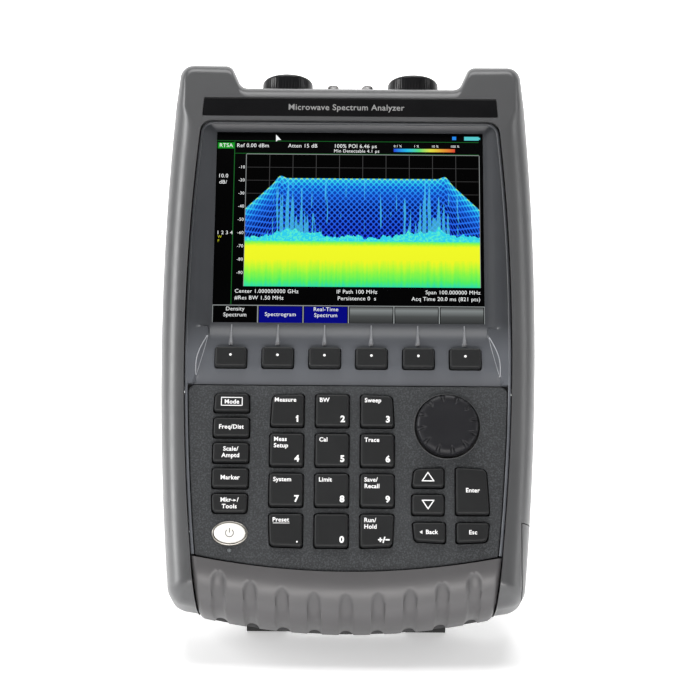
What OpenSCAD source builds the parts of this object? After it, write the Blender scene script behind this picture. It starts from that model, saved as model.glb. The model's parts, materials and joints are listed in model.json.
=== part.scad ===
// Hand-held microwave spectrum analyzer, standing on its feet and its tilt bail.
//
// Every sub-part is drawn in the case's own frame: X across the case, Y from
// the bottom end to the connector end, Z from the back to the front, with
// Z = 0 at the soles of the rubber feet. stand() then leans that frame back,
// so that the bottom feet and the tip of the bail both touch the bench.

/* [Case] */
// Width across the widest part of the case
body_w = 188; // [186:1:192]
// Length from the bottom end to the top edge between the corner horns
body_l = 280; // [278:1:290]
// Depth of the case from its back face to its front rails
body_t = 60; // [58:1:64]
// How far the two corner horns stand above the top edge
horn_h = 11; // [8:1:13]
// Wall thickness of the mouldings
wall = 3; // [2.6:0.2:3.4]
// Height of the back face above the soles of the feet
foot_h = 6; // [5.5:0.5:7]

/* [Stance] */
// Lean of the case: 90 would be upright, 0 flat on its back
incline = 60; // [50:1:64]
// Length of the tilt bail from its pivot to the middle of its cross bar
bail_l = 109; // [106:1:110]
// Distance of the bail's pivot from the bottom end
bail_pivot_y = 130; // [128:1:133]

/* [Screen] */
// Width of the visible screen
screen_w = 136; // [130:1:138]
// Height of the visible screen
screen_h = 102; // [96:1:103]

/* [Keys] */
// Side of a number key
digit_size = 16.2; // [14:0.1:17]
// Spacing of the number keys across the case
digit_pitch_x = 22.1; // [20:0.1:22.5]
// Spacing of the number keys along the case
digit_pitch_y = 19.9; // [19:0.1:20.5]
// Spacing of the six soft keys below the screen
softkey_pitch = 23.15; // [21:0.05:23.5]
// How far a key stands above the panel
key_proud = 3; // [2.2:0.1:3.4]
// Diameter of the tuning knob
knob_d = 31.2; // [28:0.2:31.6]

/* [Connectors] */
// Distance between the two microwave ports
port_pitch = 66; // [62:1:70]
// Outer diameter of the dust caps
dust_cap_d = 27; // [25:0.5:27.5]

/* [Hidden] */
FUNCTION_KEYS = ["key_mode", "key_freq", "key_scale", "key_marker", "key_marker_tools"];
DIGIT_KEYS = ["key_1", "key_2", "key_3", "key_4", "key_5", "key_6",
    "key_7", "key_8", "key_9", "key_point", "key_0", "key_sign"];
CURSOR_KEYS = ["key_up", "key_down", "key_enter", "key_back", "key_esc"];
SOFTKEYS = [for (i = [1:6]) str("softkey_", i)];

// Case outline
side_r = 1500;
side_mid_y = 165;
end_r = 320;
corner_r = 12;
layer_t = 0.5;

// Levels through the depth of the case
z_back = foot_h;
z_front = foot_h + body_t;
z_part = foot_h + 14;
z_panel = z_front - 2.5;
z_sheet = z_front - 5.4;
z_key_top = z_panel + key_proud;
z_knob_top = z_front + 6;
z_door_axis = z_part + 4;
z_port = foot_h + 30;

// Front panels
panel_half_w = 78.5;
bezel_y0 = 118.8;
bezel_y1 = 258;
screen_y0 = 151.3;
grip_half_w = 72.5;
grip_arc_r = 350;
grip_arc_y = 26;
strip_size = [150, 10, 0.8];
strip_y = 265.2;

// Keys
key_gap = 0.4;
key_travel = 1.2;
flange_w = 1;
flange_t = 1.4;
z_flange = z_sheet - 2;
z_membrane = z_flange - key_travel - 0.1;
membrane_t = 1.6;
board_t = 1.6;
z_board = z_membrane - membrane_t - board_t;
softkey_size = [15.5, 10.2];
softkey_y = 132.2;
function_key_size = [17.4, 9.6];
function_key_x = -56.8;
function_key_y = 109.2;
function_key_pitch = 12.65;
digit_x = -7.5;
digit_y = 105.4;
power_pos = [-56.4, 44.2];
power_key_size = [15.4, 9.8];
power_ring_size = [17.6, 12.2];
led_pos = [-56.4, 36];
knob_pos = [48.8, 98.2];

// Cursor keys: centre and size of each
CURSOR_POS = [[39.2, 72.2], [39.2, 58.8], [60.8, 65.7], [39.6, 45.1], [60.8, 45.1]];
CURSOR_SIZE = [[15.4, 9.6], [15.4, 9.8], [16.2, 23.2], [15.8, 9.8], [15.8, 9.8]];

// Sides, ends and back
door_gap = 0.4;
knuckle_r = 1.6;
pin_r = 0.8;
door_span_z = 20;
left_door_y = [187, 233];
right_door_y = [151, 209];
door_t = 2.4;
battery_door_y = [14, 51];
battery_door_x = 84.5;
battery_size = [140, 34, 26];
socket_block_z = 13;
z_main_board = 40;
panel_y = body_l - wall - 3;
horn_y = body_l + horn_h;
sma_x = 9;
bail_half_w = 49.5;
bail_leg_w = 6.5;
bail_t = 4.6;
bail_pivot_z = 3.2;
bail_tip_r = 2.5;
bail_pin_r = 2;
foot_axis_y = 11;
foot_r = 5.6;
screw_spots = [[82, 58], [82, 130], [78, 262]];

// Stance: height of a point of the case's frame above the sole of the feet
function lean_y(y, z) = y * cos(incline) - z * sin(incline);
function lean_z(y, z) = y * sin(incline) + z * cos(incline);
foot_drop = lean_z(foot_axis_y, foot_r) - foot_r;
bail_drop = lean_z(bail_pivot_y, bail_pivot_z) - bail_tip_r - foot_drop;
bail_open = 180 - incline - asin(bail_drop / bail_l);
front_most = lean_y(6, z_front - 2.4);
back_most = lean_y(horn_y - 4, z_back + 6);
middle_y = (front_most + back_most) / 2;

// Half the width of the case at a distance y from the bottom end
function half_width(y) = body_w / 2 - pow(y - side_mid_y, 2) / (2 * side_r);

// Outer face of a side door, just inside the narrower of its two ends
function door_x(span) = min(half_width(span[0]), half_width(span[1])) - 0.1;
function door_axis_x(span) = door_x(span) - 1.7;

module stand() {
    translate([0, -middle_y, -foot_drop]) rotate([incline, 0, 0]) children();
}

module mirrored_x() {
    children();
    mirror([1, 0, 0]) children();
}

// A box given by its lowest and highest corners
module block(low, high) {
    translate(low) cube(high - low);
}

module rod_x(r, length, centre) {
    translate(centre) rotate([0, 90, 0]) cylinder(r = r, h = length, center = true, $fn = 48);
}

module rod_y(r, y0, y1, x, z) {
    translate([x, y0, z]) rotate([-90, 0, 0]) cylinder(r = r, h = y1 - y0, $fn = 64);
}

module rod_z(r, z0, z1, pos) {
    translate([pos[0], pos[1], z0]) cylinder(r = r, h = z1 - z0, $fn = 64);
}

// ---- Case mouldings -------------------------------------------------------

module case_outline(inset) {
    offset(r = corner_r, $fn = 24)
    offset(delta = -corner_r - inset)
    intersection() {
        translate([-body_w / 2, 0]) square([body_w, body_l]);
        translate([0, end_r]) circle(r = end_r, $fn = 72);
        for (s = [-1, 1])
            translate([s * (body_w / 2 - side_r), side_mid_y]) circle(r = side_r, $fn = 144);
    }
}

module case_layer(z, inset) {
    translate([0, 0, z]) linear_extrude(layer_t) case_outline(inset);
}

// The case as one rounded block, every face moved in by shrink
module case_block(shrink) {
    hull() {
        case_layer(z_back + shrink, 9 + shrink);
        case_layer(z_back + 4, 4 + shrink);
        case_layer(z_back + 14, shrink);
        case_layer(z_front - 16, shrink);
        case_layer(z_front - 5, 4 + shrink);
        case_layer(z_front - shrink - layer_t, 10 + shrink);
    }
}

module horn_layer(z, inset) {
    translate([0, 0, z]) linear_extrude(layer_t) offset(delta = -inset)
    polygon([[46, body_l - 16], [56, body_l - 1], [61, body_l + 3], [66, horn_y],
        [77, horn_y], [84, horn_y - 3], [88, body_l - 1], [90.5, body_l - 16]]);
}

// The right-hand corner horn
module horn() {
    hull() {
        horn_layer(z_back + 6, 4);
        horn_layer(z_back + 12, 0);
        horn_layer(z_front - 12, 0);
        horn_layer(z_front - 1 - layer_t, 6);
    }
}

module case_outside() {
    case_block(0);
    mirrored_x() horn();
}

module panel_outline(clear = 0) {
    offset(r = 6 + clear, $fn = 32) offset(delta = -6)
        translate([-panel_half_w, -20]) square([2 * panel_half_w, bezel_y1 + 20]);
}

module above_grip_arc() {
    translate([0, grip_arc_y + grip_arc_r]) circle(r = grip_arc_r, $fn = 90);
}

module grip_zone() {
    difference() {
        block([-grip_half_w, -5, z_part + 3], [grip_half_w, 60, z_front + 5]);
        translate([0, 0, z_part]) linear_extrude(body_t) above_grip_arc();
    }
}

module battery_door_zone(gap) {
    block([battery_door_x + gap, battery_door_y[0] + gap, z_part + 4 + gap],
        [body_w, battery_door_y[1] - gap, z_front + 5]);
}

module door_zone(span) {
    block([-body_w, span[0], z_door_axis - 2],
        [-body_w / 2 + wall + 5, span[1], z_door_axis + door_span_z]);
}

module door_pin(span) {
    rod_y(pin_r, span[0] - 3, span[1] + 3, -door_axis_x(span), z_door_axis);
}

// A boss for a housing screw, with a rib to the side wall
module screw_boss(pos) {
    rod_z(4, z_part - 1, z_front - 8, pos);
    block([pos[0], pos[1] - 2, z_part - 1], [body_w / 2, pos[1] + 2, z_front - 8]);
}

module front_housing() color("dimgray") stand() {
    difference() {
        intersection() {
            difference() {
                case_outside();
                difference() {
                    case_block(wall);
                    mirrored_x() for (spot = screw_spots) screw_boss(spot);
                }
            }
            block([-100, -20, z_part], [100, 310, 100]);
        }
        // Window for the bezel and the keypad panel
        translate([0, 0, z_sheet - 6]) linear_extrude(30) intersection() {
            panel_outline();
            above_grip_arc();
        }
        grip_zone();
        battery_door_zone(0);
        door_zone(left_door_y);
        mirror([1, 0, 0]) door_zone(right_door_y);
        door_pin(left_door_y);
        mirror([1, 0, 0]) door_pin(right_door_y);
        // Opening of the connector end, and the seat of its panel
        block([-50, panel_y, z_port - 14.5], [50, horn_y + 5, z_port + 14.5]);
        block([-54, panel_y, z_port - 15.5], [54, panel_y + 3, z_port + 15.5]);
        translate([0, strip_y, z_front - strip_size[2] + 1])
            cube([strip_size[0], strip_size[1], 2], center = true);
        mirrored_x() for (spot = screw_spots) rod_z(1.5, z_part - 1, z_part + 20, spot);
    }
}

module rear_housing() color("gray") stand() {
    difference() {
        union() {
            difference() {
                intersection() {
                    case_outside();
                    block([-100, -20, 0], [100, 310, z_part]);
                }
                difference() {
                    case_block(wall);
                    mirrored_x() for (spot = screw_spots) rod_z(4.5, 0, z_part + 1, spot);
                }
            }
            // Posts that carry the main board
            for (x = [-66, 66], y = [70, 254]) rod_z(3, z_back + wall, z_main_board, [x, y]);
            // Lugs of the bail's pivot
            mirrored_x() difference() {
                block([bail_half_w + 0.5, bail_pivot_y - 5, 0.6],
                    [bail_half_w + 7, bail_pivot_y + 5, z_back]);
                rod_x(bail_pin_r, 40, [bail_half_w + 5, bail_pivot_y, bail_pivot_z]);
            }
        }
        mirrored_x() for (spot = screw_spots) {
            rod_z(1.6, z_back - 5, z_part + 1, spot);
            rod_z(3.4, z_back - 5, z_back + 5, spot);
        }
    }
}

module bottom_grip() color("gray") stand() {
    difference() {
        intersection() {
            case_outside();
            grip_zone();
        }
        case_block(wall + 1);
        // Flutes that run out over the bottom edge
        for (i = [-4:4]) {
            flute_top = 25.5 - 11 * (1 - pow(i / 4, 2));
            translate([i * 15.35, flute_top, z_front + 1.2]) sphere(r = 3.6, $fn = 32);
            rod_y(3.6, -5, flute_top, i * 15.35, z_front + 1.2);
        }
    }
}

// ---- Front panels and screen ----------------------------------------------

module bezel_outline() {
    intersection() {
        panel_outline();
        translate([-100, bezel_y0]) square([200, 160]);
    }
}

module screen_bezel() color([0.27, 0.28, 0.3]) stand() {
    difference() {
        translate([0, 0, z_sheet]) linear_extrude(z_front - 1 - z_sheet) bezel_outline();
        // Window, wider towards the front
        hull() {
            translate([0, screen_y0 + screen_h / 2, z_sheet - 0.1])
                cube([screen_w, screen_h, 0.2], center = true);
            translate([0, screen_y0 + screen_h / 2, z_front])
                cube([screen_w + 12, screen_h + 6, 0.2], center = true);
        }
        for (i = [0:5]) softkey_shape(i, key_gap, z_sheet - 1, z_front + 1);
    }
}

module keypad_panel() color([0.2, 0.21, 0.215]) stand() {
    difference() {
        translate([0, 0, z_sheet]) linear_extrude(z_panel - z_sheet) intersection() {
            panel_outline();
            above_grip_arc();
            translate([-100, 0]) square([200, bezel_y0]);
        }
        for (i = [0:4]) function_key_shape(i, key_gap, z_sheet - 1, z_panel + 1);
        for (i = [0:11]) digit_key_shape(i, key_gap, z_sheet - 1, z_panel + 1);
        for (i = [0:4]) cursor_key_shape(i, key_gap, z_sheet - 1, z_panel + 1);
        oval(power_ring_size, -0.6, z_sheet - 1, z_panel + 1);
        rod_z(1, z_sheet - 1, z_panel + 1, led_pos);
        rod_z(5, z_sheet - 1, z_panel + 1, knob_pos);
    }
}

module name_strip() color([0.03, 0.03, 0.035]) stand() {
    translate([-strip_size[0] / 2, strip_y - strip_size[1] / 2, z_front - strip_size[2]])
        cube(strip_size);
}

module display_glass() color([0.02, 0.02, 0.03]) stand() {
    translate([-71, screen_y0 - 3, z_sheet - 1.5]) cube([142, screen_h + 6, 1.5]);
}

module lcd_panel() color("darkslategray") stand() {
    translate([-74, screen_y0 - 4, z_sheet - 6.5]) cube([148, screen_h + 8, 5]);
}

// ---- Keys -------------------------------------------------------------------

// A prism with chamfered corners, grown by grow on every side
module key_prism(pos, size, grow, z0, z1, chamfer = 1.2) {
    half = size / 2 + [grow, grow];
    translate([pos[0], pos[1], z0]) linear_extrude(z1 - z0)
    polygon([[chamfer - half[0], -half[1]], [half[0] - chamfer, -half[1]],
        [half[0], chamfer - half[1]], [half[0], half[1] - chamfer],
        [half[0] - chamfer, half[1]], [chamfer - half[0], half[1]],
        [-half[0], half[1] - chamfer], [-half[0], chamfer - half[1]]]);
}

module oval(size, grow, z0, z1) {
    r = size[1] / 2 + grow;
    slide = (size[0] - size[1]) / 2;
    for (s = [-1, 1]) rod_z(r, z0, z1, power_pos + [s * slide, 0]);
    block([power_pos[0] - slide, power_pos[1] - r, z0], [power_pos[0] + slide, power_pos[1] + r, z1]);
}

module softkey_shape(i, grow, z0, z1) {
    key_prism([(i - 2.5) * softkey_pitch, softkey_y], softkey_size, grow, z0, z1);
}

module function_key_shape(i, grow, z0, z1) {
    key_prism([function_key_x, function_key_y - i * function_key_pitch],
        function_key_size, grow, z0, z1);
}

module digit_key_shape(i, grow, z0, z1) {
    key_prism([digit_x + (i % 3 - 1) * digit_pitch_x, digit_y - floor(i / 3) * digit_pitch_y],
        [digit_size, digit_size], grow, z0, z1);
}

module cursor_key_shape(i, grow, z0, z1) {
    key_prism(CURSOR_POS[i], CURSOR_SIZE[i], grow, z0, z1);
}

module softkey(i) color([0.14, 0.14, 0.145]) stand() {
    softkey_shape(i, 0, z_flange, z_key_top + 1);
    softkey_shape(i, flange_w, z_flange, z_flange + flange_t);
}

module function_key(i) color([0.14, 0.14, 0.145]) stand() {
    function_key_shape(i, 0, z_flange, z_key_top);
    function_key_shape(i, flange_w, z_flange, z_flange + flange_t);
}

module digit_key(i) color([0.14, 0.14, 0.145]) stand() {
    digit_key_shape(i, 0, z_flange, z_key_top);
    digit_key_shape(i, flange_w, z_flange, z_flange + flange_t);
}

module cursor_key(i) color([0.14, 0.14, 0.145]) stand() {
    cursor_key_shape(i, 0, z_flange, z_key_top);
    cursor_key_shape(i, flange_w, z_flange, z_flange + flange_t);
}

module power_key() color([0.92, 0.92, 0.88]) stand() {
    oval(power_key_size, 0, z_flange, z_key_top);
    oval(power_key_size, flange_w, z_flange, z_flange + flange_t);
}

module power_ring() color("silver") stand() {
    difference() {
        union() {
            oval(power_ring_size, -0.6, z_sheet, z_panel);
            oval(power_ring_size, 0, z_panel, z_panel + 1.2);
        }
        oval(power_key_size, key_gap / 2, z_sheet - 1, z_panel + 3);
    }
}

// ---- Tuning knob and what is under the keys --------------------------------

module tuning_knob() color([0.13, 0.13, 0.14]) stand() {
    difference() {
        union() {
            rod_z(knob_d / 2, z_panel + 0.5, z_knob_top - 1.5, knob_pos);
            rod_z(knob_d / 2 - 1.2, z_knob_top - 1.5, z_knob_top, knob_pos);
            rod_z(3, z_board + board_t + 1.4, z_panel + 1, knob_pos);
        }
        // Finger marks round the rim
        for (a = [0:30:330])
            translate([knob_pos[0], knob_pos[1], z_knob_top]) rotate([0, 0, a + 10])
                translate([knob_d / 2, 0, 0]) rotate([0, -90, 0]) cylinder(r = 0.8, h = 4, $fn = 24);
    }
}

module encoder() color("silver") stand() {
    difference() {
        union() {
            translate([knob_pos[0] - 7, knob_pos[1] - 7, z_board + board_t]) cube([14, 14, 4.6]);
            rod_z(4.5, z_board + board_t, z_sheet + 1.6, knob_pos);
        }
        rod_z(3.05, z_board + board_t + 1, z_front, knob_pos);
    }
}

module keypad_membrane() color([0.35, 0.35, 0.37]) stand() {
    difference() {
        block([-72, 33, z_board + board_t], [72, 143, z_sheet]);
        block([-70, 35, z_membrane], [70, 141, z_sheet + 1]);
        translate([knob_pos[0] - 8, knob_pos[1] - 8, z_board]) cube([16, 16, 20]);
        rod_z(1.2, z_board, z_sheet + 1, led_pos);
    }
}

module keypad_board() color("darkgreen") stand() {
    block([-72, 33, z_board], [72, 143, z_board + board_t]);
    rod_z(0.9, z_board + board_t, z_panel + 0.2, led_pos);
}

// ---- Electronics ------------------------------------------------------------

module main_board() color("darkgreen") stand() {
    difference() {
        block([-74, 62, z_main_board], [74, 257, z_main_board + board_t]);
        for (x = [-66, 66], y = [70, 254]) rod_z(1.2, 0, 100, [x, y]);
    }
    for (x = [-40, 0, 40], y = [85, 120])
        block([x - 8, y - 8, z_main_board + board_t], [x + 8, y + 8, z_main_board + board_t + 2.5]);
}

module rf_module() color("silver") stand() {
    block([-56, 142, z_port - 12], [56, panel_y - 10, z_main_board]);
}

module battery_pack() color([0.1, 0.1, 0.12]) stand() {
    translate([battery_door_x - 1 - battery_size[0], battery_door_y[0] + 1.5, z_part + 5])
        cube(battery_size);
}

module battery_door() color("dimgray") stand() {
    difference() {
        intersection() {
            case_outside();
            battery_door_zone(door_gap / 2);
        }
        case_block(wall);
    }
}

// ---- Side doors and the sockets behind them ---------------------------------

module side_door(span) {
    y0 = span[0] + door_gap;
    y1 = span[1] - door_gap;
    difference() {
        union() {
            block([-door_x(span), y0, z_door_axis],
                [door_t - door_x(span), y1, z_door_axis + door_span_z - door_gap]);
            rod_y(knuckle_r, y0, y1, -door_axis_x(span), z_door_axis);
            // Grip ribs
            for (i = [0:2])
                block([-door_x(span) - 0.6, y0 + 8 + i * (y1 - y0 - 19) / 2, z_door_axis + 4],
                    [0.5 - door_x(span), y0 + 11 + i * (y1 - y0 - 19) / 2, z_door_axis + 16]);
        }
        rod_y(pin_r + 0.05, span[0] - 1, span[1] + 1, -door_axis_x(span), z_door_axis);
    }
}

module left_door() color([0.2, 0.2, 0.21]) stand() side_door(left_door_y);

module right_door() color([0.2, 0.2, 0.21]) stand() mirror([1, 0, 0]) side_door(right_door_y);

module socket_block(span) {
    block([-body_w / 2 + 5.4, span[0] + 3, z_main_board - socket_block_z],
        [-64, span[1] - 3, z_main_board]);
}

module socket(size, y) {
    block([-body_w / 2, y - size[0] / 2, z_main_board - socket_block_z / 2 - size[1] / 2],
        [-body_w / 2 + 16, y + size[0] / 2, z_main_board - socket_block_z / 2 + size[1] / 2]);
}

module left_connectors() color("silver") stand() {
    difference() {
        socket_block(left_door_y);
        socket([12, 10.5], 219);
        socket([13, 6.6], 200);
    }
}

module right_connectors() color("silver") stand() mirror([1, 0, 0]) {
    difference() {
        socket_block(right_door_y);
        rod_x(3.2, 16, [-body_w / 2 + 8, 197, z_main_board - socket_block_z / 2]);
        rod_x(1.8, 16, [-body_w / 2 + 8, 182, z_main_board - socket_block_z / 2]);
        socket([13, 6.6], 164);
    }
}

module hinge_pins() color("silver") stand() {
    door_pin(left_door_y);
    mirror([1, 0, 0]) door_pin(right_door_y);
    for (s = [-1, 1])
        rod_x(bail_pin_r, bail_leg_w + 7, [s * (bail_half_w + 0.25), bail_pivot_y, bail_pivot_z]);
}

// ---- Connector end ----------------------------------------------------------

module top_panel() color("gray") stand() {
    difference() {
        block([-54, panel_y, z_port - 15.5], [54, panel_y + 3, z_port + 15.5]);
        for (s = [-1, 1]) {
            rod_y(8, 0, horn_y, s * port_pitch / 2, z_port);
            rod_y(3.1, 0, horn_y, s * sma_x, z_port);
        }
    }
}

module rf_ports() color("silver") stand() {
    for (s = [-1, 1]) difference() {
        union() {
            rod_y(8, panel_y - 10, horn_y - 5, s * port_pitch / 2, z_port);
            rod_y(11, panel_y + 3, panel_y + 5.5, s * port_pitch / 2, z_port);
        }
        rod_y(3.5, body_l + 1, horn_y, s * port_pitch / 2, z_port);
    }
}

module dust_cap(s) color([0.05, 0.05, 0.055]) stand() {
    difference() {
        union() {
            rod_y(dust_cap_d / 2, panel_y + 6, horn_y - 0.6, s * port_pitch / 2, z_port);
            rod_y(dust_cap_d / 2 - 0.8, horn_y - 0.6, horn_y + 0.4, s * port_pitch / 2, z_port);
        }
        rod_y(8.4, 0, horn_y - 3, s * port_pitch / 2, z_port);
    }
}

module sma_connectors() color("gold") stand() {
    for (s = [-1, 1]) difference() {
        union() {
            rod_y(3.1, panel_y - 10, body_l, s * sma_x, z_port);
            translate([s * sma_x, panel_y + 3, z_port]) rotate([-90, 0, 0])
                cylinder(r = 4.6, h = 3, $fn = 6);
            rod_y(3.15, panel_y + 6, body_l + 9, s * sma_x, z_port);
        }
        rod_y(2.2, body_l + 3, horn_y, s * sma_x, z_port);
    }
}

// ---- Back -------------------------------------------------------------------

// The bail hangs along -Y from its pivot, and is turned out by bail_open
module tilt_bail() color([0.25, 0.25, 0.26]) stand()
translate([0, bail_pivot_y, bail_pivot_z]) rotate([bail_open, 0, 0]) {
    difference() {
        union() {
            mirrored_x() {
                block([bail_half_w - bail_leg_w, -bail_l, -bail_t / 2],
                    [bail_half_w, 0, bail_t / 2]);
                rod_x(bail_t / 2, bail_leg_w, [bail_half_w - bail_leg_w / 2, 0, 0]);
            }
            rod_x(bail_tip_r, 2 * bail_half_w, [0, -bail_l, 0]);
        }
        rod_x(bail_pin_r + 0.05, 3 * bail_half_w, [0, 0, 0]);
    }
}

module rubber_feet() color([0.08, 0.08, 0.08]) stand() {
    difference() {
        mirrored_x() rod_x(foot_r, 20, [40, foot_axis_y, foot_r]);
        case_block(0);
    }
    mirrored_x() rod_z(7, 0, z_back, [64, body_l - 24]);
}

module housing_screws() color("silver") stand() {
    mirrored_x() for (spot = screw_spots) {
        rod_z(1.5, z_back + 5, z_part + 18, spot);
        rod_z(3, z_back + 3, z_back + 5, spot);
    }
}

// ---- Assembly ---------------------------------------------------------------

front_housing();
rear_housing();
screen_bezel();
keypad_panel();
bottom_grip();
name_strip();
display_glass();
lcd_panel();
keypad_membrane();
keypad_board();
encoder();
power_ring();
main_board();
rf_module();
battery_pack();
battery_door();
left_door();
right_door();
left_connectors();
right_connectors();
top_panel();
rf_ports();
dust_cap(-1);  // dust_cap_left
dust_cap(1);  // dust_cap_right
sma_connectors();
tilt_bail();
hinge_pins();
rubber_feet();
housing_screws();
tuning_knob();
power_key();
for (i = [0:5]) softkey(i);
for (i = [0:4]) function_key(i);
for (i = [0:11]) digit_key(i);
for (i = [0:4]) cursor_key(i);
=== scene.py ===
"""Looks of the hand-held spectrum analyzer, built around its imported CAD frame.

Pieces are drawn in the case's own frame, in millimetres: X across the case, Y from the
bottom end to the connector end, Z from the back to the front. CASE places that frame.
"""
import json
import math

import bmesh
import bpy
from mathutils import Matrix, Vector


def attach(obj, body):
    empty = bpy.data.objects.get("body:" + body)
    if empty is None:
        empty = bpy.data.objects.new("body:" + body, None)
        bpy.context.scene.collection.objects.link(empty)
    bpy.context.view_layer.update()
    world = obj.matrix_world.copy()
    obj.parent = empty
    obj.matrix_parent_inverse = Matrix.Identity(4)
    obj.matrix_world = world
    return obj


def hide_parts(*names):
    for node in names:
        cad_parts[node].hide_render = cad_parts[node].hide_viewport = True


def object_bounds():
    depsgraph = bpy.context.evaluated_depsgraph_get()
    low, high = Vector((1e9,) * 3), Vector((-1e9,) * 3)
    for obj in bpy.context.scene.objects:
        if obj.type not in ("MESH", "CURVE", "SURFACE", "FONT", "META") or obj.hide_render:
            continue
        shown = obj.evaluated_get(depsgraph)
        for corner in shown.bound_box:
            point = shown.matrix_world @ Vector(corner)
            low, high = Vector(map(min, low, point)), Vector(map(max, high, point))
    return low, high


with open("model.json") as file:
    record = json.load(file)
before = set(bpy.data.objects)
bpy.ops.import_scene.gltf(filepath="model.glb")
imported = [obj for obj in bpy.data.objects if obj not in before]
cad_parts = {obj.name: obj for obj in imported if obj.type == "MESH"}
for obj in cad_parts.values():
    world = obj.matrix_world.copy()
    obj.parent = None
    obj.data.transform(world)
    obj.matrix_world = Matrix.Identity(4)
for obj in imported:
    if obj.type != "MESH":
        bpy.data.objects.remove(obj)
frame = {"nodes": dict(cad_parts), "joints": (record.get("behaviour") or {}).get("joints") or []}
CAD_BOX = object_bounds()
MM = 0.001
ROOT = "case"


# ---- The case's frame, from the knob's joint --------------------------------

KNOB = (48.8, 98.2)
Z_FRONT = 66.0
KNOB_JOINT = next(j for j in frame["joints"] if j["name"] == "tuning_knob_turn")


def case_matrix():
    across = Vector((1, 0, 0))
    normal = Vector(KNOB_JOINT["axis"]).normalized()
    along = normal.cross(across)
    turn = Matrix((across, along, normal)).transposed()
    place = Vector(KNOB_JOINT["pos_m"]) - turn @ (Vector((*KNOB, Z_FRONT)) * MM)
    return Matrix.Translation(place) @ turn.to_4x4()


CASE = case_matrix()


def at(x, y, z):
    """A point of the case, given in millimetres, in the row frame."""
    return CASE @ (Vector((x, y, z)) * MM)


# ---- Camera ------------------------------------------------------------------

VIEW_TILT = 16.0          # degrees off the front normal, towards the bottom end
VIEW_ROLL = 0.45
VIEW_DISTANCE = 1.0
VIEW_TARGET = (0.9, 137.8, 60.0)
SENSOR = 36.0
FOCAL = 103.5


def make_camera():
    data = bpy.data.cameras.new("camera")
    data.lens = FOCAL
    data.sensor_width = SENSOR
    data.clip_start = 0.05
    cam = bpy.data.objects.new("camera", data)
    bpy.context.scene.collection.objects.link(cam)
    tilt = math.radians(VIEW_TILT)
    local = Vector((0.0, -math.sin(tilt), math.cos(tilt)))
    target = at(*VIEW_TARGET)
    away = (CASE.to_3x3() @ local).normalized()
    cam.location = target + away * VIEW_DISTANCE
    look = (-away).to_track_quat("-Z", "Y")
    cam.rotation_euler = (look.to_matrix() @ Matrix.Rotation(math.radians(VIEW_ROLL), 3, "Z")).to_euler()
    bpy.context.scene.camera = cam


make_camera()


# ---- Materials ------------------------------------------------------------------

class Nodes:
    """A short way to wire a material's nodes."""

    def __init__(self, name):
        self.mat = bpy.data.materials.new(name)
        self.mat.use_nodes = True
        self.tree = self.mat.node_tree
        self.shader = self.tree.nodes["Principled BSDF"]

    def node(self, kind, *values):
        """A new node, with its first sockets linked or set."""
        made = self.tree.nodes.new(kind)
        for socket, value in zip(made.inputs, values):
            self.put(socket, value)
        return made

    def put(self, socket, value):
        if isinstance(value, bpy.types.NodeSocket):
            self.tree.links.new(value, socket)
        else:
            socket.default_value = value

    def math(self, operation, *values, clamp=False):
        made = self.node("ShaderNodeMath", *values)
        made.operation = operation
        made.use_clamp = clamp
        return made.outputs[0]

    def plus(self, a, b):
        return self.math("ADD", a, b)

    def minus(self, a, b):
        return self.math("SUBTRACT", a, b)

    def times(self, a, b):
        return self.math("MULTIPLY", a, b)

    def over(self, a, b, clamp=False):
        return self.math("DIVIDE", a, b, clamp=clamp)

    def above(self, a, b):
        return self.math("GREATER_THAN", a, b)

    def below(self, a, b):
        return self.math("LESS_THAN", a, b)

    def absolute(self, a):
        return self.math("ABSOLUTE", a)

    def ramp(self, factor, stops, smooth=False):
        """A colour band; a stop's colour may be one number for a grey."""
        made = self.node("ShaderNodeValToRGB", factor)
        made.color_ramp.interpolation = "EASE" if smooth else "LINEAR"
        band = made.color_ramp.elements
        while len(band) < len(stops):
            band.new(0.5)
        for element, (place, colour) in zip(band, stops):
            element.position = place
            element.color = (*colour, 1.0) if isinstance(colour, tuple) else (colour, colour, colour, 1.0)
        return made.outputs[0]

    def mix(self, factor, a, b):
        node = self.tree.nodes.new("ShaderNodeMix")
        node.data_type = "RGBA"
        self.put(node.inputs[0], factor)
        self.put(node.inputs[6], a)
        self.put(node.inputs[7], b)
        return node.outputs[2]

    def coords(self):
        return self.tree.nodes.new("ShaderNodeTexCoord").outputs["Object"]

    def axes(self):
        """The X, Y and Z of the piece's own coordinates."""
        return self.node("ShaderNodeSeparateXYZ", self.coords()).outputs

    def noise(self, where, scale, detail=3.0, rough=0.5):
        made = self.node("ShaderNodeTexNoise", where)
        made.inputs["Scale"].default_value = scale
        made.inputs["Detail"].default_value = detail
        made.inputs["Roughness"].default_value = rough
        return made.outputs["Fac"]

    def span(self, value, low, high):
        node = self.tree.nodes.new("ShaderNodeMapRange")
        self.put(node.inputs["Value"], value)
        node.inputs["To Min"].default_value = low
        node.inputs["To Max"].default_value = high
        return node.outputs["Result"]

    def bump(self, height, strength, distance):
        node = self.tree.nodes.new("ShaderNodeBump")
        self.put(node.inputs["Height"], height)
        node.inputs["Strength"].default_value = strength
        node.inputs["Distance"].default_value = distance
        return node.outputs["Normal"]

    def set(self, name, value):
        self.put(self.shader.inputs[name], value)

    def glow(self, colour, strength=1.0):
        """Makes the surface a black one that gives off a colour."""
        self.set("Base Color", (0.0, 0.0, 0.0, 1.0))
        self.set("Roughness", 0.4)
        self.set("Emission Color", colour)
        self.set("Emission Strength", strength)


SPECKLE_SCALE = 1200.0


def shade(colour, factor):
    return tuple(c * factor for c in colour)


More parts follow.
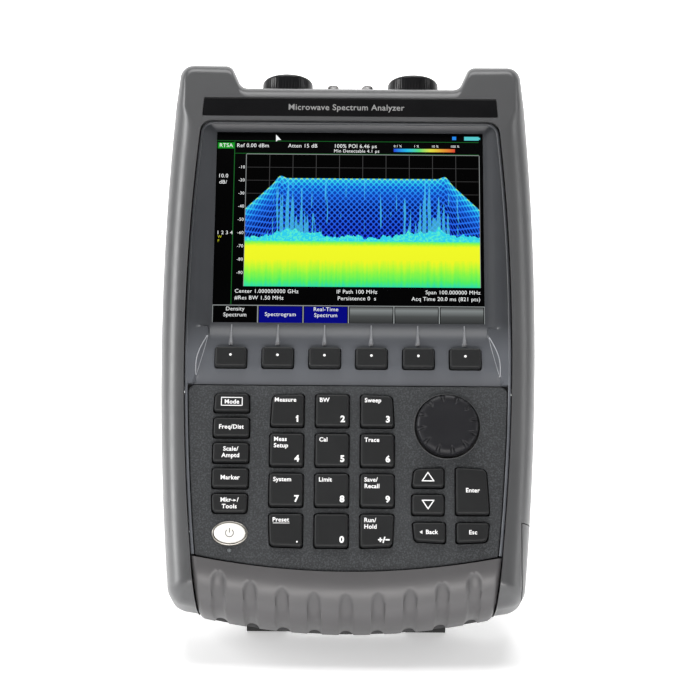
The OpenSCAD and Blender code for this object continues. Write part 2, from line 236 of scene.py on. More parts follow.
def moulded(name, tone, rough, spread=0.08, grain=2600.0, grain_mm=0.03, grain_strength=0.4,
            specular=0.5, painted_highlight_band=None, speckle=0.0):
    """Moulded plastic or rubber: cloudy tone, fine spark-eroded grain, uneven gloss.

    painted_highlight_band is (from_y, to_y, gain): between two places along the case the tone turns lighter
    by gain, a painted highlight that stands in for light the surface catches.
    speckle is how much lighter the tops of a coarse grain are.
    """
    n = Nodes(name)
    where = n.coords()
    cloud = n.noise(where, 22.0, 5.0)
    colour = n.ramp(cloud, [(0.3, shade(tone, 1 - spread)), (0.7, shade(tone, 1 + spread))])
    # Painted highlight: the tone is lightened by place along the part, not by any light
    if painted_highlight_band:
        from_y, to_y, gain = painted_highlight_band
        share = n.over(n.minus(n.axes()[1], from_y), to_y - from_y, clamp=True)
        lighter = shade(tone, gain)
        painted_highlight_tone = n.ramp(cloud, [(0.3, shade(lighter, 1 - spread)), (0.7, shade(lighter, 1 + spread))])
        colour = n.mix(share, colour, painted_highlight_tone)
    if speckle:
        tops = n.ramp(n.noise(where, SPECKLE_SCALE, 2.0, 0.7), [(0.48, 0.0), (0.64, 1.0)])
        colour = n.mix(tops, colour, (*shade(tone, 1 + speckle), 1.0))
    n.set("Base Color", colour)
    n.set("Roughness", n.span(n.noise(where, 120.0, 3.0), rough - 0.06, rough + 0.06))
    n.set("Normal", n.bump(n.noise(where, grain, 2.0), grain_strength, grain_mm * MM))
    n.set("Specular IOR Level", specular)
    return n.mat


def metal(name, tone, rough, stretch=(1.0, 1.0, 30.0), scale=260.0):
    """Turned or brushed metal with fine stretched marks."""
    n = Nodes(name)
    mapping = n.node("ShaderNodeMapping", n.coords())
    mapping.inputs["Scale"].default_value = stretch
    marks = n.noise(mapping.outputs[0], scale, 4.0)
    n.set("Base Color", n.ramp(marks, [(0.3, shade(tone, 0.86)), (0.7, shade(tone, 1.08))]))
    n.set("Metallic", 1.0)
    n.set("Roughness", n.span(marks, rough - 0.06, rough + 0.08))
    n.set("Normal", n.bump(marks, 0.2, 0.01 * MM))
    return n.mat


def glossy(name, tone, rough=0.12, specular=0.5):
    """Smooth gloss with faint smudges."""
    n = Nodes(name)
    n.set("Specular IOR Level", specular)
    smudge = n.noise(n.coords(), 45.0, 4.0)
    n.set("Base Color", n.ramp(smudge, [(0.3, shade(tone, 0.85)), (0.7, shade(tone, 1.15))]))
    n.set("Roughness", n.span(smudge, rough, rough + 0.1))
    return n.mat


def ink(name, tone):
    """Printed or two-shot white legend, slightly uneven."""
    n = Nodes(name)
    grain = n.noise(n.coords(), 1800.0, 2.0)
    n.set("Base Color", n.ramp(grain, [(0.2, shade(tone, 0.93)), (0.8, tone)]))
    n.set("Roughness", 0.55)
    n.set("Normal", n.bump(grain, 0.1, 0.01 * MM))
    return n.mat


def lit(name, tone):
    """A lit area of the display, with the fine pitch of its cells."""
    n = Nodes(name)
    cells = n.noise(n.coords(), 5200.0, 1.0)
    n.set("Specular IOR Level", 0.03)
    n.glow(n.ramp(cells, [(0.2, shade(tone, 0.94)), (0.8, tone)]))
    return n.mat


MAT = {
    "case": moulded("case_plastic", (0.064, 0.065, 0.067), 0.34, 0.05, 3200.0, 0.02, 0.35),
    # The bezel's soft-key ledge below the window is painted lighter: a painted highlight
    "bezel": moulded("bezel_plastic", (0.031, 0.033, 0.037), 0.36, 0.06, 3000.0, 0.015, 0.3,
                     painted_highlight_band=(0.152, 0.134, 2.9)),
    "pointer": moulded("pointer_plastic", (0.13, 0.135, 0.145), 0.36, 0.05, 3000.0, 0.01, 0.2),
    # Pale grey for fine beads: painted highlights, not a plastic of its own
    "edge": moulded("painted_highlight_plastic", (0.32, 0.33, 0.35), 0.3, 0.05, 3000.0, 0.01, 0.2),
    "panel": moulded("panel_plastic", (0.026, 0.028, 0.030), 0.55, 0.16, 1100.0, 0.16, 1.0,
                     specular=0.4, speckle=1.1),
    "grip": moulded("grip_rubber", (0.073, 0.071, 0.073), 0.38, 0.06, 2600.0, 0.03, 0.4),
    "key": moulded("key_rubber", (0.0125, 0.0130, 0.0135), 0.50, 0.12, 2400.0, 0.03, 0.4, specular=0.22),
    "knob": moulded("knob_rubber", (0.011, 0.011, 0.013), 0.45, 0.12, 2400.0, 0.03, 0.4, specular=0.25),
    "cap": moulded("cap_plastic", (0.004, 0.004, 0.005), 0.30, 0.12, 2000.0, 0.02, 0.3, specular=0.35),
    "door": moulded("door_rubber", (0.030, 0.031, 0.033), 0.6, 0.10, 2000.0, 0.05, 0.5),
    "bail": moulded("bail_plastic", (0.035, 0.036, 0.038), 0.5, 0.10, 2000.0, 0.04, 0.5),
    "foot": moulded("foot_rubber", (0.012, 0.012, 0.012), 0.75, 0.15, 1800.0, 0.06, 0.6),
    # Near-black for a plate that shows only in gaps: painted shade
    "seam": moulded("gap_shade_black", (0.004, 0.004, 0.005), 0.7, 0.15, 1800.0, 0.03, 0.4),
    "power": moulded("power_plastic", (0.80, 0.79, 0.74), 0.35, 0.03, 2400.0, 0.01, 0.2),
    "battery": moulded("battery_plastic", (0.02, 0.02, 0.023), 0.55, 0.1, 1600.0, 0.05, 0.5),
    "board": moulded("board_mask", (0.01, 0.11, 0.045), 0.35, 0.15, 900.0, 0.03, 0.3),
    "mat": moulded("mat_rubber", (0.12, 0.12, 0.13), 0.7, 0.1, 1600.0, 0.05, 0.5),
    "ring": metal("ring_metal", (0.42, 0.40, 0.37), 0.34),
    "steel": metal("steel", (0.62, 0.61, 0.60), 0.28),
    "aluminium": metal("cast_aluminium", (0.55, 0.55, 0.56), 0.42, (1.0, 1.0, 1.0), 700.0),
    "strip": glossy("strip_gloss", (0.0035, 0.0035, 0.004), 0.3, 0.12),
    "glass": glossy("display_glass", (0.0005, 0.0005, 0.0006), 0.25, 0.03),
    "legend": ink("legend_ink", (0.86, 0.86, 0.86)),
    "strip_ink": ink("strip_ink", (0.24, 0.24, 0.24)),
    "power_ink": ink("power_ink", (0.16, 0.16, 0.15)),
    "led": glossy("led_lens", (0.10, 0.11, 0.115), 0.3),
}


# ---- Mesh helpers ----------------------------------------------------------------

SHARP = 32.0                      # degrees above which an edge stays sharp


def smoothstep(low, high, value):
    t = min(max((value - low) / (high - low), 0.0), 1.0)
    return t * t * (3 - 2 * t)


def fillet(corners, steps=6):
    """A closed outline through corners (x, y, radius), each one rounded."""
    out = []
    count = len(corners)
    for i, (x, y, r) in enumerate(corners):
        p = Vector((x, y))
        if r <= 0:
            out.append((x, y))
            continue
        a = (Vector(corners[i - 1][:2]) - p).normalized()
        b = (Vector(corners[(i + 1) % count][:2]) - p).normalized()
        half = a.angle(b) / 2
        centre = p + (a + b).normalized() * (r / math.sin(half))
        start = p + a * (r / math.tan(half)) - centre
        end = p + b * (r / math.tan(half)) - centre
        first = math.atan2(start.y, start.x)
        turn = (math.atan2(end.y, end.x) - first + math.pi) % (2 * math.pi) - math.pi
        for k in range(steps + 1):
            t = first + turn * k / steps
            out.append((centre.x + r * math.cos(t), centre.y + r * math.sin(t)))
    return out


def mirrored(right):
    """A closed outline from its right half, given from the bottom to the top."""
    return right + [(-x, y, *rest) for x, y, *rest in reversed(right) if abs(x) > 1e-6]


def grown(outline, centre, amount):
    """The outline with every side moved out by about amount."""
    half_x = max(abs(x - centre[0]) for x, y in outline)
    half_y = max(abs(y - centre[1]) for x, y in outline)
    return [(centre[0] + (x - centre[0]) * (half_x + amount) / half_x,
             centre[1] + (y - centre[1]) * (half_y + amount) / half_y) for x, y in outline]


def painted(faces, material):
    for f in faces:
        f.material_index = material
        f.smooth = True
    return faces


def skin(bm, rows, material=0, closed=True):
    """Faces between neighbouring rows of vertices; closed joins each row's ends."""
    count = len(rows[0])
    faces = []
    for low, high in zip(rows, rows[1:]):
        for i in range(count if closed else count - 1):
            j = (i + 1) % count
            faces.append(bm.faces.new((low[i], low[j], high[j], high[i])))
    return painted(faces, material)


def loft(bm, rings, material=0):
    """A closed solid through rings of equally many points."""
    rows = [[bm.verts.new(p) for p in ring] for ring in rings]
    ends = [bm.faces.new(list(reversed(rows[0]))), bm.faces.new(rows[-1])]
    return painted(ends, material) + skin(bm, rows, material)


def plate(bm, points, low, high, material=0):
    """A flat piece of an outline between two levels."""
    return loft(bm, [[(x, y, z) for x, y in points] for z in (low, high)], material)


def prism(bm, outline, centre, levels):
    """A solid of an outline at each (z, growth) level."""
    return loft(bm, [[(x, y, z) for x, y in grown(outline, centre, growth)] for z, growth in levels])


def box_mesh(bm, low, high, bevel=0.0):
    made = bmesh.ops.create_cube(bm, size=1.0)
    centre = (Vector(low) + Vector(high)) / 2
    size = Vector(high) - Vector(low)
    for v in made["verts"]:
        v.co = Vector((v.co.x * size.x, v.co.y * size.y, v.co.z * size.z)) + centre
    faces = list({f for v in made["verts"] for f in v.link_faces})
    if bevel > 0:
        edges = list({e for f in faces for e in f.edges})
        result = bmesh.ops.bevel(bm, geom=edges, offset=bevel, segments=3, affect="EDGES", profile=0.5)
        faces = list(set(result["faces"]) | {f for f in faces if f.is_valid})
    return painted(faces, 0)


def lathe(bm, profile, origin, axis="Z", steps=64, ripple=None, material=0):
    """A closed solid of revolution; profile is (radius, height) from end to end."""
    rings = []
    for r, h in profile:
        ring = []
        for k in range(steps):
            a = 2 * math.pi * k / steps
            rr = r + (ripple(a, h) if ripple and r > 0.5 else 0.0)
            x, y = rr * math.cos(a), rr * math.sin(a)
            if axis == "Z":
                p = (x, y, h)
            elif axis == "Y":
                p = (y, h, x)
            else:
                p = (h, x, y)
            ring.append(tuple(Vector(p) + Vector(origin)))
        rings.append(ring)
    return loft(bm, rings, material)


def sweep(bm, path, radius, sides=10, closed=False, material=0, flat=1.0):
    """A tube along a path that lies about level in Z."""
    rings = []
    count = len(path)
    for i, p in enumerate(path):
        before = Vector(path[i - 1] if i or closed else path[0])
        after = Vector(path[(i + 1) % count] if i < count - 1 or closed else path[-1])
        along = (after - before).normalized()
        side = along.cross(Vector((0, 0, 1))).normalized()
        up = side.cross(along)
        rings.append([tuple(Vector(p) + side * radius * math.cos(2 * math.pi * k / sides)
                            + up * radius * flat * math.sin(2 * math.pi * k / sides)) for k in range(sides)])
    if not closed:
        return loft(bm, rings, material)
    rows = [[bm.verts.new(q) for q in ring] for ring in rings]
    return skin(bm, rows + rows[:1], material)


def text(bm, words, size, pos, align="CENTER", weight=0.0, depth=0.05, material=1):
    """Raised lettering, with its middle height at pos."""
    curve = bpy.data.curves.new("lettering", "FONT")
    curve.body = words
    curve.size = size
    curve.align_x = align
    curve.align_y = "CENTER"
    curve.offset = weight
    curve.extrude = depth / 2
    curve.resolution_u = 3
    curve.space_line = 1.08
    curve.space_character = 1.06
    holder = bpy.data.objects.new("lettering", curve)
    mesh = bpy.data.meshes.new_from_object(holder)
    mesh.transform(Matrix.Translation(pos))
    before = len(bm.faces)
    bm.from_mesh(mesh)
    bm.faces.ensure_lookup_table()
    for f in bm.faces[before:]:
        f.material_index = material
        f.smooth = False
    bpy.data.objects.remove(holder)
    bpy.data.curves.remove(curve)
    bpy.data.meshes.remove(mesh)


def quad(bm, x0, y0, x1, y1, z, depth=0.03, material=0):
    """A thin flat rectangle."""
    for f in plate(bm, ((x0, y0), (x1, y0), (x1, y1), (x0, y1)), z - depth, z, material):
        f.smooth = False


def make_object(name, bm, materials, sharp=SHARP):
    bmesh.ops.recalc_face_normals(bm, faces=bm.faces[:])
    for v in bm.verts:
        v.co *= MM
    mesh = bpy.data.meshes.new(name)
    bm.to_mesh(mesh)
    bm.free()
    mesh.set_sharp_from_angle(angle=math.radians(sharp))
    for m in materials:
        mesh.materials.append(MAT[m] if isinstance(m, str) else m)
    obj = bpy.data.objects.new(name, mesh)
    bpy.context.scene.collection.objects.link(obj)
    return obj


def settle(obj, slot, body=ROOT, replaces=True, matrix=None):
    """Puts a piece in its place, on its body; it replaces the CAD node of its name."""
    name = obj.name.split(".")[0]
    obj.matrix_world = matrix or CASE
    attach(obj, body)
    if replaces:
        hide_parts(name)
    return obj


def piece(name, bm, materials, slot, sharp=SHARP, **place):
    """A finished piece; place goes to settle."""
    return settle(make_object(name, bm, materials, sharp), slot, **place)


def carve(obj, cutter_bm, operation="DIFFERENCE"):
    """Cuts the object, still in its own frame, with a solid."""
    cutter = make_object("cutter", cutter_bm, [])
    cut = obj.modifiers.new("cut", "BOOLEAN")
    cut.object = cutter
    cut.operation = operation
    cut.solver = "EXACT"
    apply_modifiers(obj)
    bpy.data.objects.remove(cutter)


def carve_boxes(obj, *boxes):
    """Cuts the object with boxes, each given by two corners."""
    cut = bmesh.new()
    for low, high in boxes:
        box_mesh(cut, low, high)
    carve(obj, cut)


def carve_zone(obj, outline, low, high):
    """Cuts the object with an outline between two levels."""
    cut = bmesh.new()
    plate(cut, outline, low, high)
    carve(obj, cut)


def apply_modifiers(obj):
    bpy.context.view_layer.update()
    graph = bpy.context.evaluated_depsgraph_get()
    mesh = bpy.data.meshes.new_from_object(obj.evaluated_get(graph))
    obj.modifiers.clear()
    obj.data = mesh


def soften(obj, width):
    """Rounds the sharp edges a little."""
    edge = obj.modifiers.new("soften", "BEVEL")
    edge.width = width * MM
    edge.segments = 2
    edge.limit_method = "ANGLE"
    edge.angle_limit = math.radians(35)
    edge.use_clamp_overlap = True
    apply_modifiers(obj)
    obj.data.shade_smooth()
    obj.data.set_sharp_from_angle(angle=math.radians(SHARP))
    even = obj.modifiers.new("even", "WEIGHTED_NORMAL")
    even.keep_sharp = True
    apply_modifiers(obj)


# ---- Outlines ------------------------------------------------------------------------

BODY_L = 280.0                    # length of the case without its corner horns
HORN_Y = 292.4                    # end of the horns
Z_BACK = 6.0
Z_PART = 20.0                     # parting plane of the two housings
Z_PANEL = 63.5                    # top of the keypad panel
Z_SHEET = 60.6                    # top of the display window and foot of the keypad panel
Z_KEY = 66.5                      # top of the panel's keys
Z_KEY_FOOT = 58.6
Z_PORT = 36.0                     # axis of the ports and coaxial connectors
PORT_X = 33.0
COAX_X = 9.0
ABOVE = 90.0                      # clear of the front, for the cutters of whole zones
HOLE_TOP = 80.0                   # clear of the front, for the cutters of holes
PANEL_TOP = 118.8
BEZEL_TOP = 258.0
WINDOW = (68.0, 151.3, 253.3)     # half width, lower and upper edge
GRIP_ARC_R = 350.0
GRIP_ARC_Y = 26.0


def half_width(y):
    """Half width of the case at a distance y from the bottom end."""
    return 94.0 - (y - 165.0) ** 2 / 3000.0


def seam(y):
    """Half width of the inset front panels at a distance y from the bottom end."""
    return 81.2 - 0.00045 * (y - 150.0) ** 2


def end_arc(x):
    """Y of the curved bottom end."""
    return 0.3 + x * x / 640.0


def grip_arc(x):
    """Y of the arc between the bottom grip and the keypad panel."""
    return GRIP_ARC_Y + x * x / (2 * GRIP_ARC_R)


def case_outline():
    right = [(x, end_arc(x), 0) for x in (0, 9, 18, 27, 36, 45, 54, 63, 69)]
    right += [(71.4, end_arc(71.4), 0), (73.2, 10.4, 0), (78.0, 11.3, 0), (86.3, 13.4, 9.0)]
    right += [(half_width(y), y, 0) for y in range(30, 272, 10)]
    right += [(87.9, HORN_Y, 7.0), (61.5, HORN_Y, 4.5), (56.0, BODY_L, 5.0)]
    right += [(40.0, BODY_L, 0), (20.0, BODY_L, 0), (0.0, BODY_L, 0)]
    return fillet(mirrored(right), 7)


def core_outline():
    """Convex outline that the case's rounded edges run in to."""
    right = [(x, end_arc(x) + 13.0, 0) for x in (0, 15, 30, 45, 60)]
    right.append((seam(22.0), 21.0, 4.0))
    right += [(seam(y), y, 0) for y in range(40, 246, 12)]
    right += [(seam(BEZEL_TOP), BEZEL_TOP, 6.0), (0.0, BEZEL_TOP, 0)]
    return fillet(mirrored(right), 7)


def nearest(point, outline):
    p = Vector(point)
    best = None
    for i, q in enumerate(outline):
        a, b = Vector(outline[i - 1]), Vector(q)
        d = b - a
        if d.length_squared < 1e-9:
            continue
        t = min(max((p - a).dot(d) / d.length_squared, 0.0), 1.0)
        c = a + d * t
        gap = (c - p).length
        if best is None or gap < best[0]:
            best = (gap, c)
    return best


OUTLINE = case_outline()
CORE = core_outline()
PAIRS = [(Vector(p), *nearest(p, CORE)) for p in OUTLINE]


def tuck(y, z):
    """How far the bottom end draws in below the grip's edge."""
    return 2.2 * smoothstep(18.0, 8.0, y) * smoothstep(31.0, 17.0, z)


def ring(inset, z):
    """The case outline moved in by inset, which may depend on the place."""
    out = []
    for p, gap, core in PAIRS:
        reach = (inset(p) if callable(inset) else inset) + tuck(p.y, z)
        q = p.lerp(core, min(1.0, reach / gap))
        out.append((q.x, q.y, z))
    return out


def front_radius(p):
    """How far in the rounded front edge runs: wide along the rails, less at the top."""
    return 13.4 - 4.2 * smoothstep(255.0, 272.0, p.y)


def case_rings(z_low):
    """Rings from the parting plane over the rounded front edge."""
    drop, steps = 17.0, 9
    rings = [ring(0.45, z_low), ring(0.0, z_low + 0.5)]
    rings += [ring(0.0, z) for z in (23.5, 27.0, 31.0, 40.0, Z_FRONT - drop)]
    for k in range(1, steps + 1):
        a = math.pi / 2 * k / steps
        rings.append(ring(lambda p: front_radius(p) * (1 - math.cos(a)), Z_FRONT - drop + drop * math.sin(a)))
    rings.append(ring(100.0, Z_FRONT))
    return rings


# ---- Case mouldings ------------------------------------------------------------------

def seam_right():
    """Right half of the inset front, with rounded upper corners."""
    top, low = BEZEL_TOP, -20.0
    corners = [(0.0, low, 0), (seam(7.0), low, 0)]
    corners += [(seam(y), y, 0) for y in range(7, 248, 8)]
    corners += [(seam(top), top, 6.0), (0.0, top, 0)]
    outline = fillet(corners + [(-10.0, top, 0), (-10.0, low, 0)], 6)
    return [p for p in outline if p[0] >= -1e-6]


def grip_right(grow=0.0):
    """Right half of the bottom grip's zone."""
    xs = [72.0 * k / 12 for k in range(13)]
    top = [(x, grip_arc(x) + grow) for x in reversed(xs)]
    side = [(seam(y) + grow, y) for y in (-20.0, 0.0, 10.0, 20.0, 30.0)]
    return [(0.0, -20.0)] + side + [(seam(33.5) + grow, grip_arc(seam(33.5)) + grow)] + top


BATTERY_DOOR = ((84.5, 14.0, 24.0), (110.0, 51.0, 90.0))
LEFT_DOOR_Y = (187.0, 233.0)
RIGHT_DOOR_Y = (151.0, 209.0)
DOOR_Z = (22.0, 44.0)
DOOR_X = (86.0, 120.0)            # from the inside of the case to clear of it


def hollow(obj):
    """Cuts the case's inside out of a moulding."""
    cut = bmesh.new()
    loft(cut, [ring(3.0, 10.0), ring(3.0, 48.0), ring(8.0, 58.0), ring(12.5, 61.0)])
    carve(obj, cut)


def front_housing():
    bm = bmesh.new()
    loft(bm, case_rings(Z_PART + 0.15))
    obj = make_object("front_housing", bm, ["case"])
    hollow(obj)
    carve_zone(obj, mirrored(seam_right()), Z_SHEET - 6.0, ABOVE)
    carve_zone(obj, mirrored(grip_right(0.12)), Z_PART + 3.0, ABOVE)
    (inner, outer), (low, high) = DOOR_X, DOOR_Z
    carve_boxes(obj, BATTERY_DOOR, ((-outer, LEFT_DOOR_Y[0], low), (-inner, LEFT_DOOR_Y[1], high)))
    carve_boxes(obj, ((inner, RIGHT_DOOR_Y[0], low), (outer, RIGHT_DOOR_Y[1], high)),
                ((-50.0, 270.0, Z_PORT - 14.5), (50.0, 310.0, Z_PORT + 14.5)))
    carve_zone(obj, strip_outline(0.25), Z_FRONT - 0.8, HOLE_TOP)
    soften(obj, 0.35)
    settle(obj, "case_grey")


def rear_housing():
    bm = bmesh.new()
    rings = [ring(9.5, Z_BACK)]
    for k in range(1, 7):
        a = math.pi / 2 * k / 6
        rings.append(ring(9.5 * (1 - math.sin(a)), Z_BACK + 13.0 * (1 - math.cos(a))))
    rings += [ring(0.0, Z_PART - 0.65), ring(0.45, Z_PART - 0.15)]
    loft(bm, rings)
    obj = make_object("rear_housing", bm, ["case"])
    hollow(obj)
    cut = bmesh.new()
    for x, y in SCREWS:
        for s in (-1, 1):
            lathe(cut, [(3.4, -2.0), (3.4, Z_BACK + 5.0)], (s * x, y, 0), steps=32)
    # Shallow fields and cooling slots of the back
    box_mesh(cut, (-36.0, 150.0, -2.0), (36.0, 236.0, Z_BACK + 0.8))
    for i in range(9):
        for s in (-1, 1):
            x, y = s * 40.0, 30.0 + i * 6.0
            box_mesh(cut, (x - 12.0, y - 1.2, -2.0), (x + 12.0, y + 1.2, Z_BACK + 1.2))
    carve(obj, cut)
    soften(obj, 0.35)
    settle(obj, "case_grey")
    bm = bmesh.new()
    for s in (-1, 1):
        low, high = sorted((s * 50.0, s * 56.5))
        box_mesh(bm, (low, 125.0, 0.7), (high, 135.0, Z_BACK + 1.0), 0.8)
    piece("bail_lugs", bm, ["case"], "case_grey", replaces=False)


SCREWS = [(82.0, 58.0), (82.0, 130.0), (78.0, 262.0)]


def battery_door():
    bm = bmesh.new()
    loft(bm, case_rings(Z_PART + 0.15))
    obj = make_object("battery_door", bm, ["case"])
    cut = bmesh.new()
    gap = 0.4
    (x0, y0, z0), (x1, y1, z1) = BATTERY_DOOR
    box_mesh(cut, (x0 + gap, y0 + gap, z0 + gap), (x1, y1 - gap, z1))
    carve(obj, cut, "INTERSECT")
    hollow(obj)
    soften(obj, 0.3)
    settle(obj, "case_grey", "battery_door")


FLUTE_PITCH = 15.35
FLUTE_HALF = 3.3
FLUTE_DEPTH = 2.1


def flute_depth(x, y):
    """Depth of the nine flutes, which start higher towards the sides."""
    i = round(x / FLUTE_PITCH)
    if abs(i) > 4:
        return 0.0
    top = 24.0 - 10.5 * (1 - (i / 4) ** 2)
    dx = (x - i * FLUTE_PITCH) / FLUTE_HALF
    dy = max(0.0, y - (top - 4.0)) / 5.0
    d = dx * dx + dy * dy
    if d >= 1.0:
        return 0.0
    return FLUTE_DEPTH * (1 - d) ** 0.5


def bottom_grip():
    bm = bmesh.new()
    columns, rows = 190, 44
    top_z, low_z = Z_FRONT + 0.1, 21.0
    side = 34.0                   # height where the rounded front meets the flat end
    turn_rows = rows * 0.8
    power = 2 / 2.6               # of the superellipse that the rounding follows
    grid = []
    for r in range(rows + 1):
        line = []
        for c in range(columns + 1):
            u = 2 * c / columns - 1
            x0 = u * 71.6
            arc, end = grip_arc(x0) - 0.4, end_arc(x0)
            if r < turn_rows:
                a = math.pi / 2 * r / turn_rows
                y = end + (arc - end) * (1 - math.sin(a) ** power)
                z = side + (top_z - side) * math.cos(a) ** power
            else:
                z = side + (low_z - side) * (r - turn_rows) / (rows * 0.2)
                y = end + tuck(0.0, z) + 1.2 * smoothstep(24.0, 20.5, z)
            x = u * (seam(y) - 0.5)
            edge = smoothstep(1.0, 0.975, abs(u))
            lift = -1.2 * (1 - edge)
            depth = flute_depth(x, y)
            front = max(0.0, min(1.0, (z - side) / (top_z - side)))
            line.append(Vector((x, y + depth * (1 - 0.55 * front) - lift * (1 - front),
                                z - depth * front * 0.9 + lift * front)))
        grid.append(line)
    rim = [Vector((p.x, p.y, Z_SHEET - 4.0)) for p in grid[0]]
    foot = [Vector((p.x, p.y + 5.0, p.z)) for p in grid[-1]]
    grid = [rim] + grid + [foot]
    skin(bm, [[bm.verts.new(p) for p in line] for line in grid], closed=False)
    obj = make_object("bottom_grip", bm, ["grip"], 50.0)
    thick = obj.modifiers.new("thick", "SOLIDIFY")
    thick.thickness = 1.6 * MM
    thick.offset = -1.0
    apply_modifiers(obj)
    settle(obj, "grip_grey")


# ---- Front panels -----------------------------------------------------------------------

def bezel_height(x, y):
    """Height of the screen surround: sloping in to the window, then out to the soft keys."""
    half, low, high = WINDOW
    out_x = abs(x) - half
    out_y = max(low - y, y - high)
    out = max(out_x, out_y if y > low else -1.0)
    rim = Z_SHEET + 0.7 + 3.2 * smoothstep(0.0, 9.0, out) ** 0.8
    if y >= low:
        return rim
    ledge = Z_SHEET + 0.7 + 2.0 * smoothstep(low, low - 10.0, y)
    ledge += 0.5 * smoothstep(138.0, 128.0, y) - 2.2 * smoothstep(130.0, PANEL_TOP - 3.0, y)
    wall = smoothstep(leaf_x(y), leaf_x(y) + 0.6 + leaf_width(y), abs(x))
    frame_level = Z_SHEET + 3.9 + 0.4 * smoothstep(low, PANEL_TOP, y)
    side = max(rim, frame_level * smoothstep(low, low - 3.0, y))
    return ledge + (max(side, ledge) - ledge) * wall


def leaf_x(y):
    """Where the soft-key ledge ends, spreading towards the keypad."""
    return 69.0 + 6.6 * (max(0.0, 147.0 - y) / 27.0) ** 1.3


def leaf_width(y):
    """Width of the leaf-shaped wall at the end of the ledge."""
    return 2.4 * math.sin(math.pi * min(max((144.0 - y) / 21.0, 0.0), 1.0))


def bezel_grid():
    half, low, high = WINDOW
    xs = [half * (2 * k / 48 - 1) for k in range(49)]
    margin = [k / 14 for k in range(1, 15)]
    ys = [PANEL_TOP + 0.3 + (low - PANEL_TOP - 0.3) * k / 40 for k in range(41)]
    ys += [low + (high - low) * k / 30 for k in range(1, 31)]
    ys += [high + (BEZEL_TOP - 0.4 - high) * k / 6 for k in range(1, 7)]
    return xs, margin, ys


def screen_bezel():
    half, low, high = WINDOW
    xs, margin, ys = bezel_grid()
    gap, radius = 0.9, 6.0        # to the case's seam, and of the upper corners
    bm = bmesh.new()
    rows = []
    for y in ys:
        line = []
        limit = seam(y) - gap
        places = [-(half + (limit - half) * m) for m in reversed(margin)] + xs
        places += [half + (limit - half) * m for m in margin]
        for x in places:
            yy = y
            corner = seam(BEZEL_TOP) - gap - radius
            if abs(x) > corner and y > high - 2.0:
                rise = math.sqrt(max(0.0, radius ** 2 - min(abs(x) - corner, radius) ** 2))
                top = BEZEL_TOP - 0.4 - radius + rise
                yy = min(y, top - (BEZEL_TOP - 0.4 - y) * 0.2)
            line.append(bm.verts.new((x, yy, bezel_height(x, yy))))
        rows.append(line)
    inner = range(len(margin), len(margin) + 48)
    for r, (a, b) in enumerate(zip(rows, rows[1:])):
        for c in range(len(a) - 1):
            if c in inner and low - 0.01 <= ys[r] and ys[r + 1] <= high + 0.01:
                continue
            f = bm.faces.new((a[c], a[c + 1], b[c + 1], b[c]))
            f.smooth = True
    made = bmesh.ops.extrude_face_region(bm, geom=bm.faces[:])
    for v in made["geom"]:
        if isinstance(v, bmesh.types.BMVert):
            v.co.z = Z_SHEET - 0.3
    obj = make_object("screen_bezel", bm, ["bezel"], 40.0)
    cut = bmesh.new()
    for i in range(6):
        outline, centre = softkey_outline(i)
        prism(cut, outline, centre, ((Z_SHEET - 2.0, 0.5), (HOLE_TOP, 0.5)))
    carve(obj, cut)
    obj.data.set_sharp_from_angle(angle=math.radians(40))
    settle(obj, "bezel_grey")
    # Slim pointers from the window to each soft key
    bm = bmesh.new()
    stations = ((150.2, 0.35, 0.25), (147.0, 0.55, 0.7), (140.4, 1.35, 1.1), (138.9, 1.3, 0.25))
    for i in range(6):
        x = (i - 2.5) * SOFTKEY_PITCH - 0.2
        rings = []
        for y, wide, proud in stations:
            z = bezel_height(x, y)
            rings.append([(x - wide, y, z - 0.3), (x + wide, y, z - 0.3), (x + wide * 0.45, y, z + proud),
                          (x - wide * 0.45, y, z + proud)])
        loft(bm, rings)
    piece("softkey_pointers", bm, ["pointer"], "bezel_grey", sharp=30.0, replaces=False)
    # Fine pale beads along the two leaf-shaped walls: painted highlights where their edges catch light
    bm = bmesh.new()
    for s in (-1, 1):
        for share in (0.05, 1.0):
            path = []
            for k in range(25):
                y = 143.6 - 20.2 * k / 24
                x = leaf_x(y) + 0.3 + leaf_width(y) * share
                path.append((s * x, y, bezel_height(s * x, y) + 0.05))
            sweep(bm, path, 0.16 + 0.1 * share, 8)
    piece("ledge_highlight_beads", bm, ["edge"], "bezel_grey", sharp=60.0, replaces=False)


def lip():
    """The fine rounded lip that follows the seam between the case and the inset front."""
    bm = bmesh.new()
    inset = 1.15
    side = [(seam(y) - inset, y) for y in range(34, 251, 6)]
    corner = fillet([(seam(246.0) - inset, 246.0, 0), (seam(BEZEL_TOP) - inset, BEZEL_TOP - inset, 6.0),
                     (0.0, BEZEL_TOP - inset, 0), (0.0, 246.0, 0)], 8)[1:-2]
    right = side + corner
    path = [(x, y, 64.5) for x, y in right] + [(-x, y, 64.5) for x, y in reversed(right)]
    sweep(bm, path, 0.75, 10)
    piece("seam_lip", bm, ["bezel"], "bezel_grey", sharp=60.0, replaces=False)


def keypad_outline(inset=0.0):
    """The keypad panel: sides along the seam, upper corners rounded, lower edge an arc."""
    gap = 2.2 + inset
    right = [(x, grip_arc(x) + 0.1 + inset, 0) for x in (0, 12, 24, 36, 48, 60)]
    right.append((seam(34.0) - gap, grip_arc(73.0) + 0.1 + inset, 1.2))
    right += [(seam(y) - gap, y, 0) for y in range(46, 112, 10)]
    right += [(seam(118.0) - gap, PANEL_TOP - 0.5 - inset, 3.2), (0.0, PANEL_TOP - 0.5 - inset, 0)]
    return fillet(mirrored(right), 6)


def key_holes(cut, low, gap):
    """Cutters for the holes of all panel keys."""
    for outline, centre in PANEL_KEYS.values():
        prism(cut, outline, centre, ((low, gap), (HOLE_TOP, gap)))


def ring_hole(cut, low):
    """A cutter for the hole of the power key's ring."""
    prism(cut, oval_outline(*POWER_HOLE), POWER, ((low, 0.0), (HOLE_TOP, 0.0)))


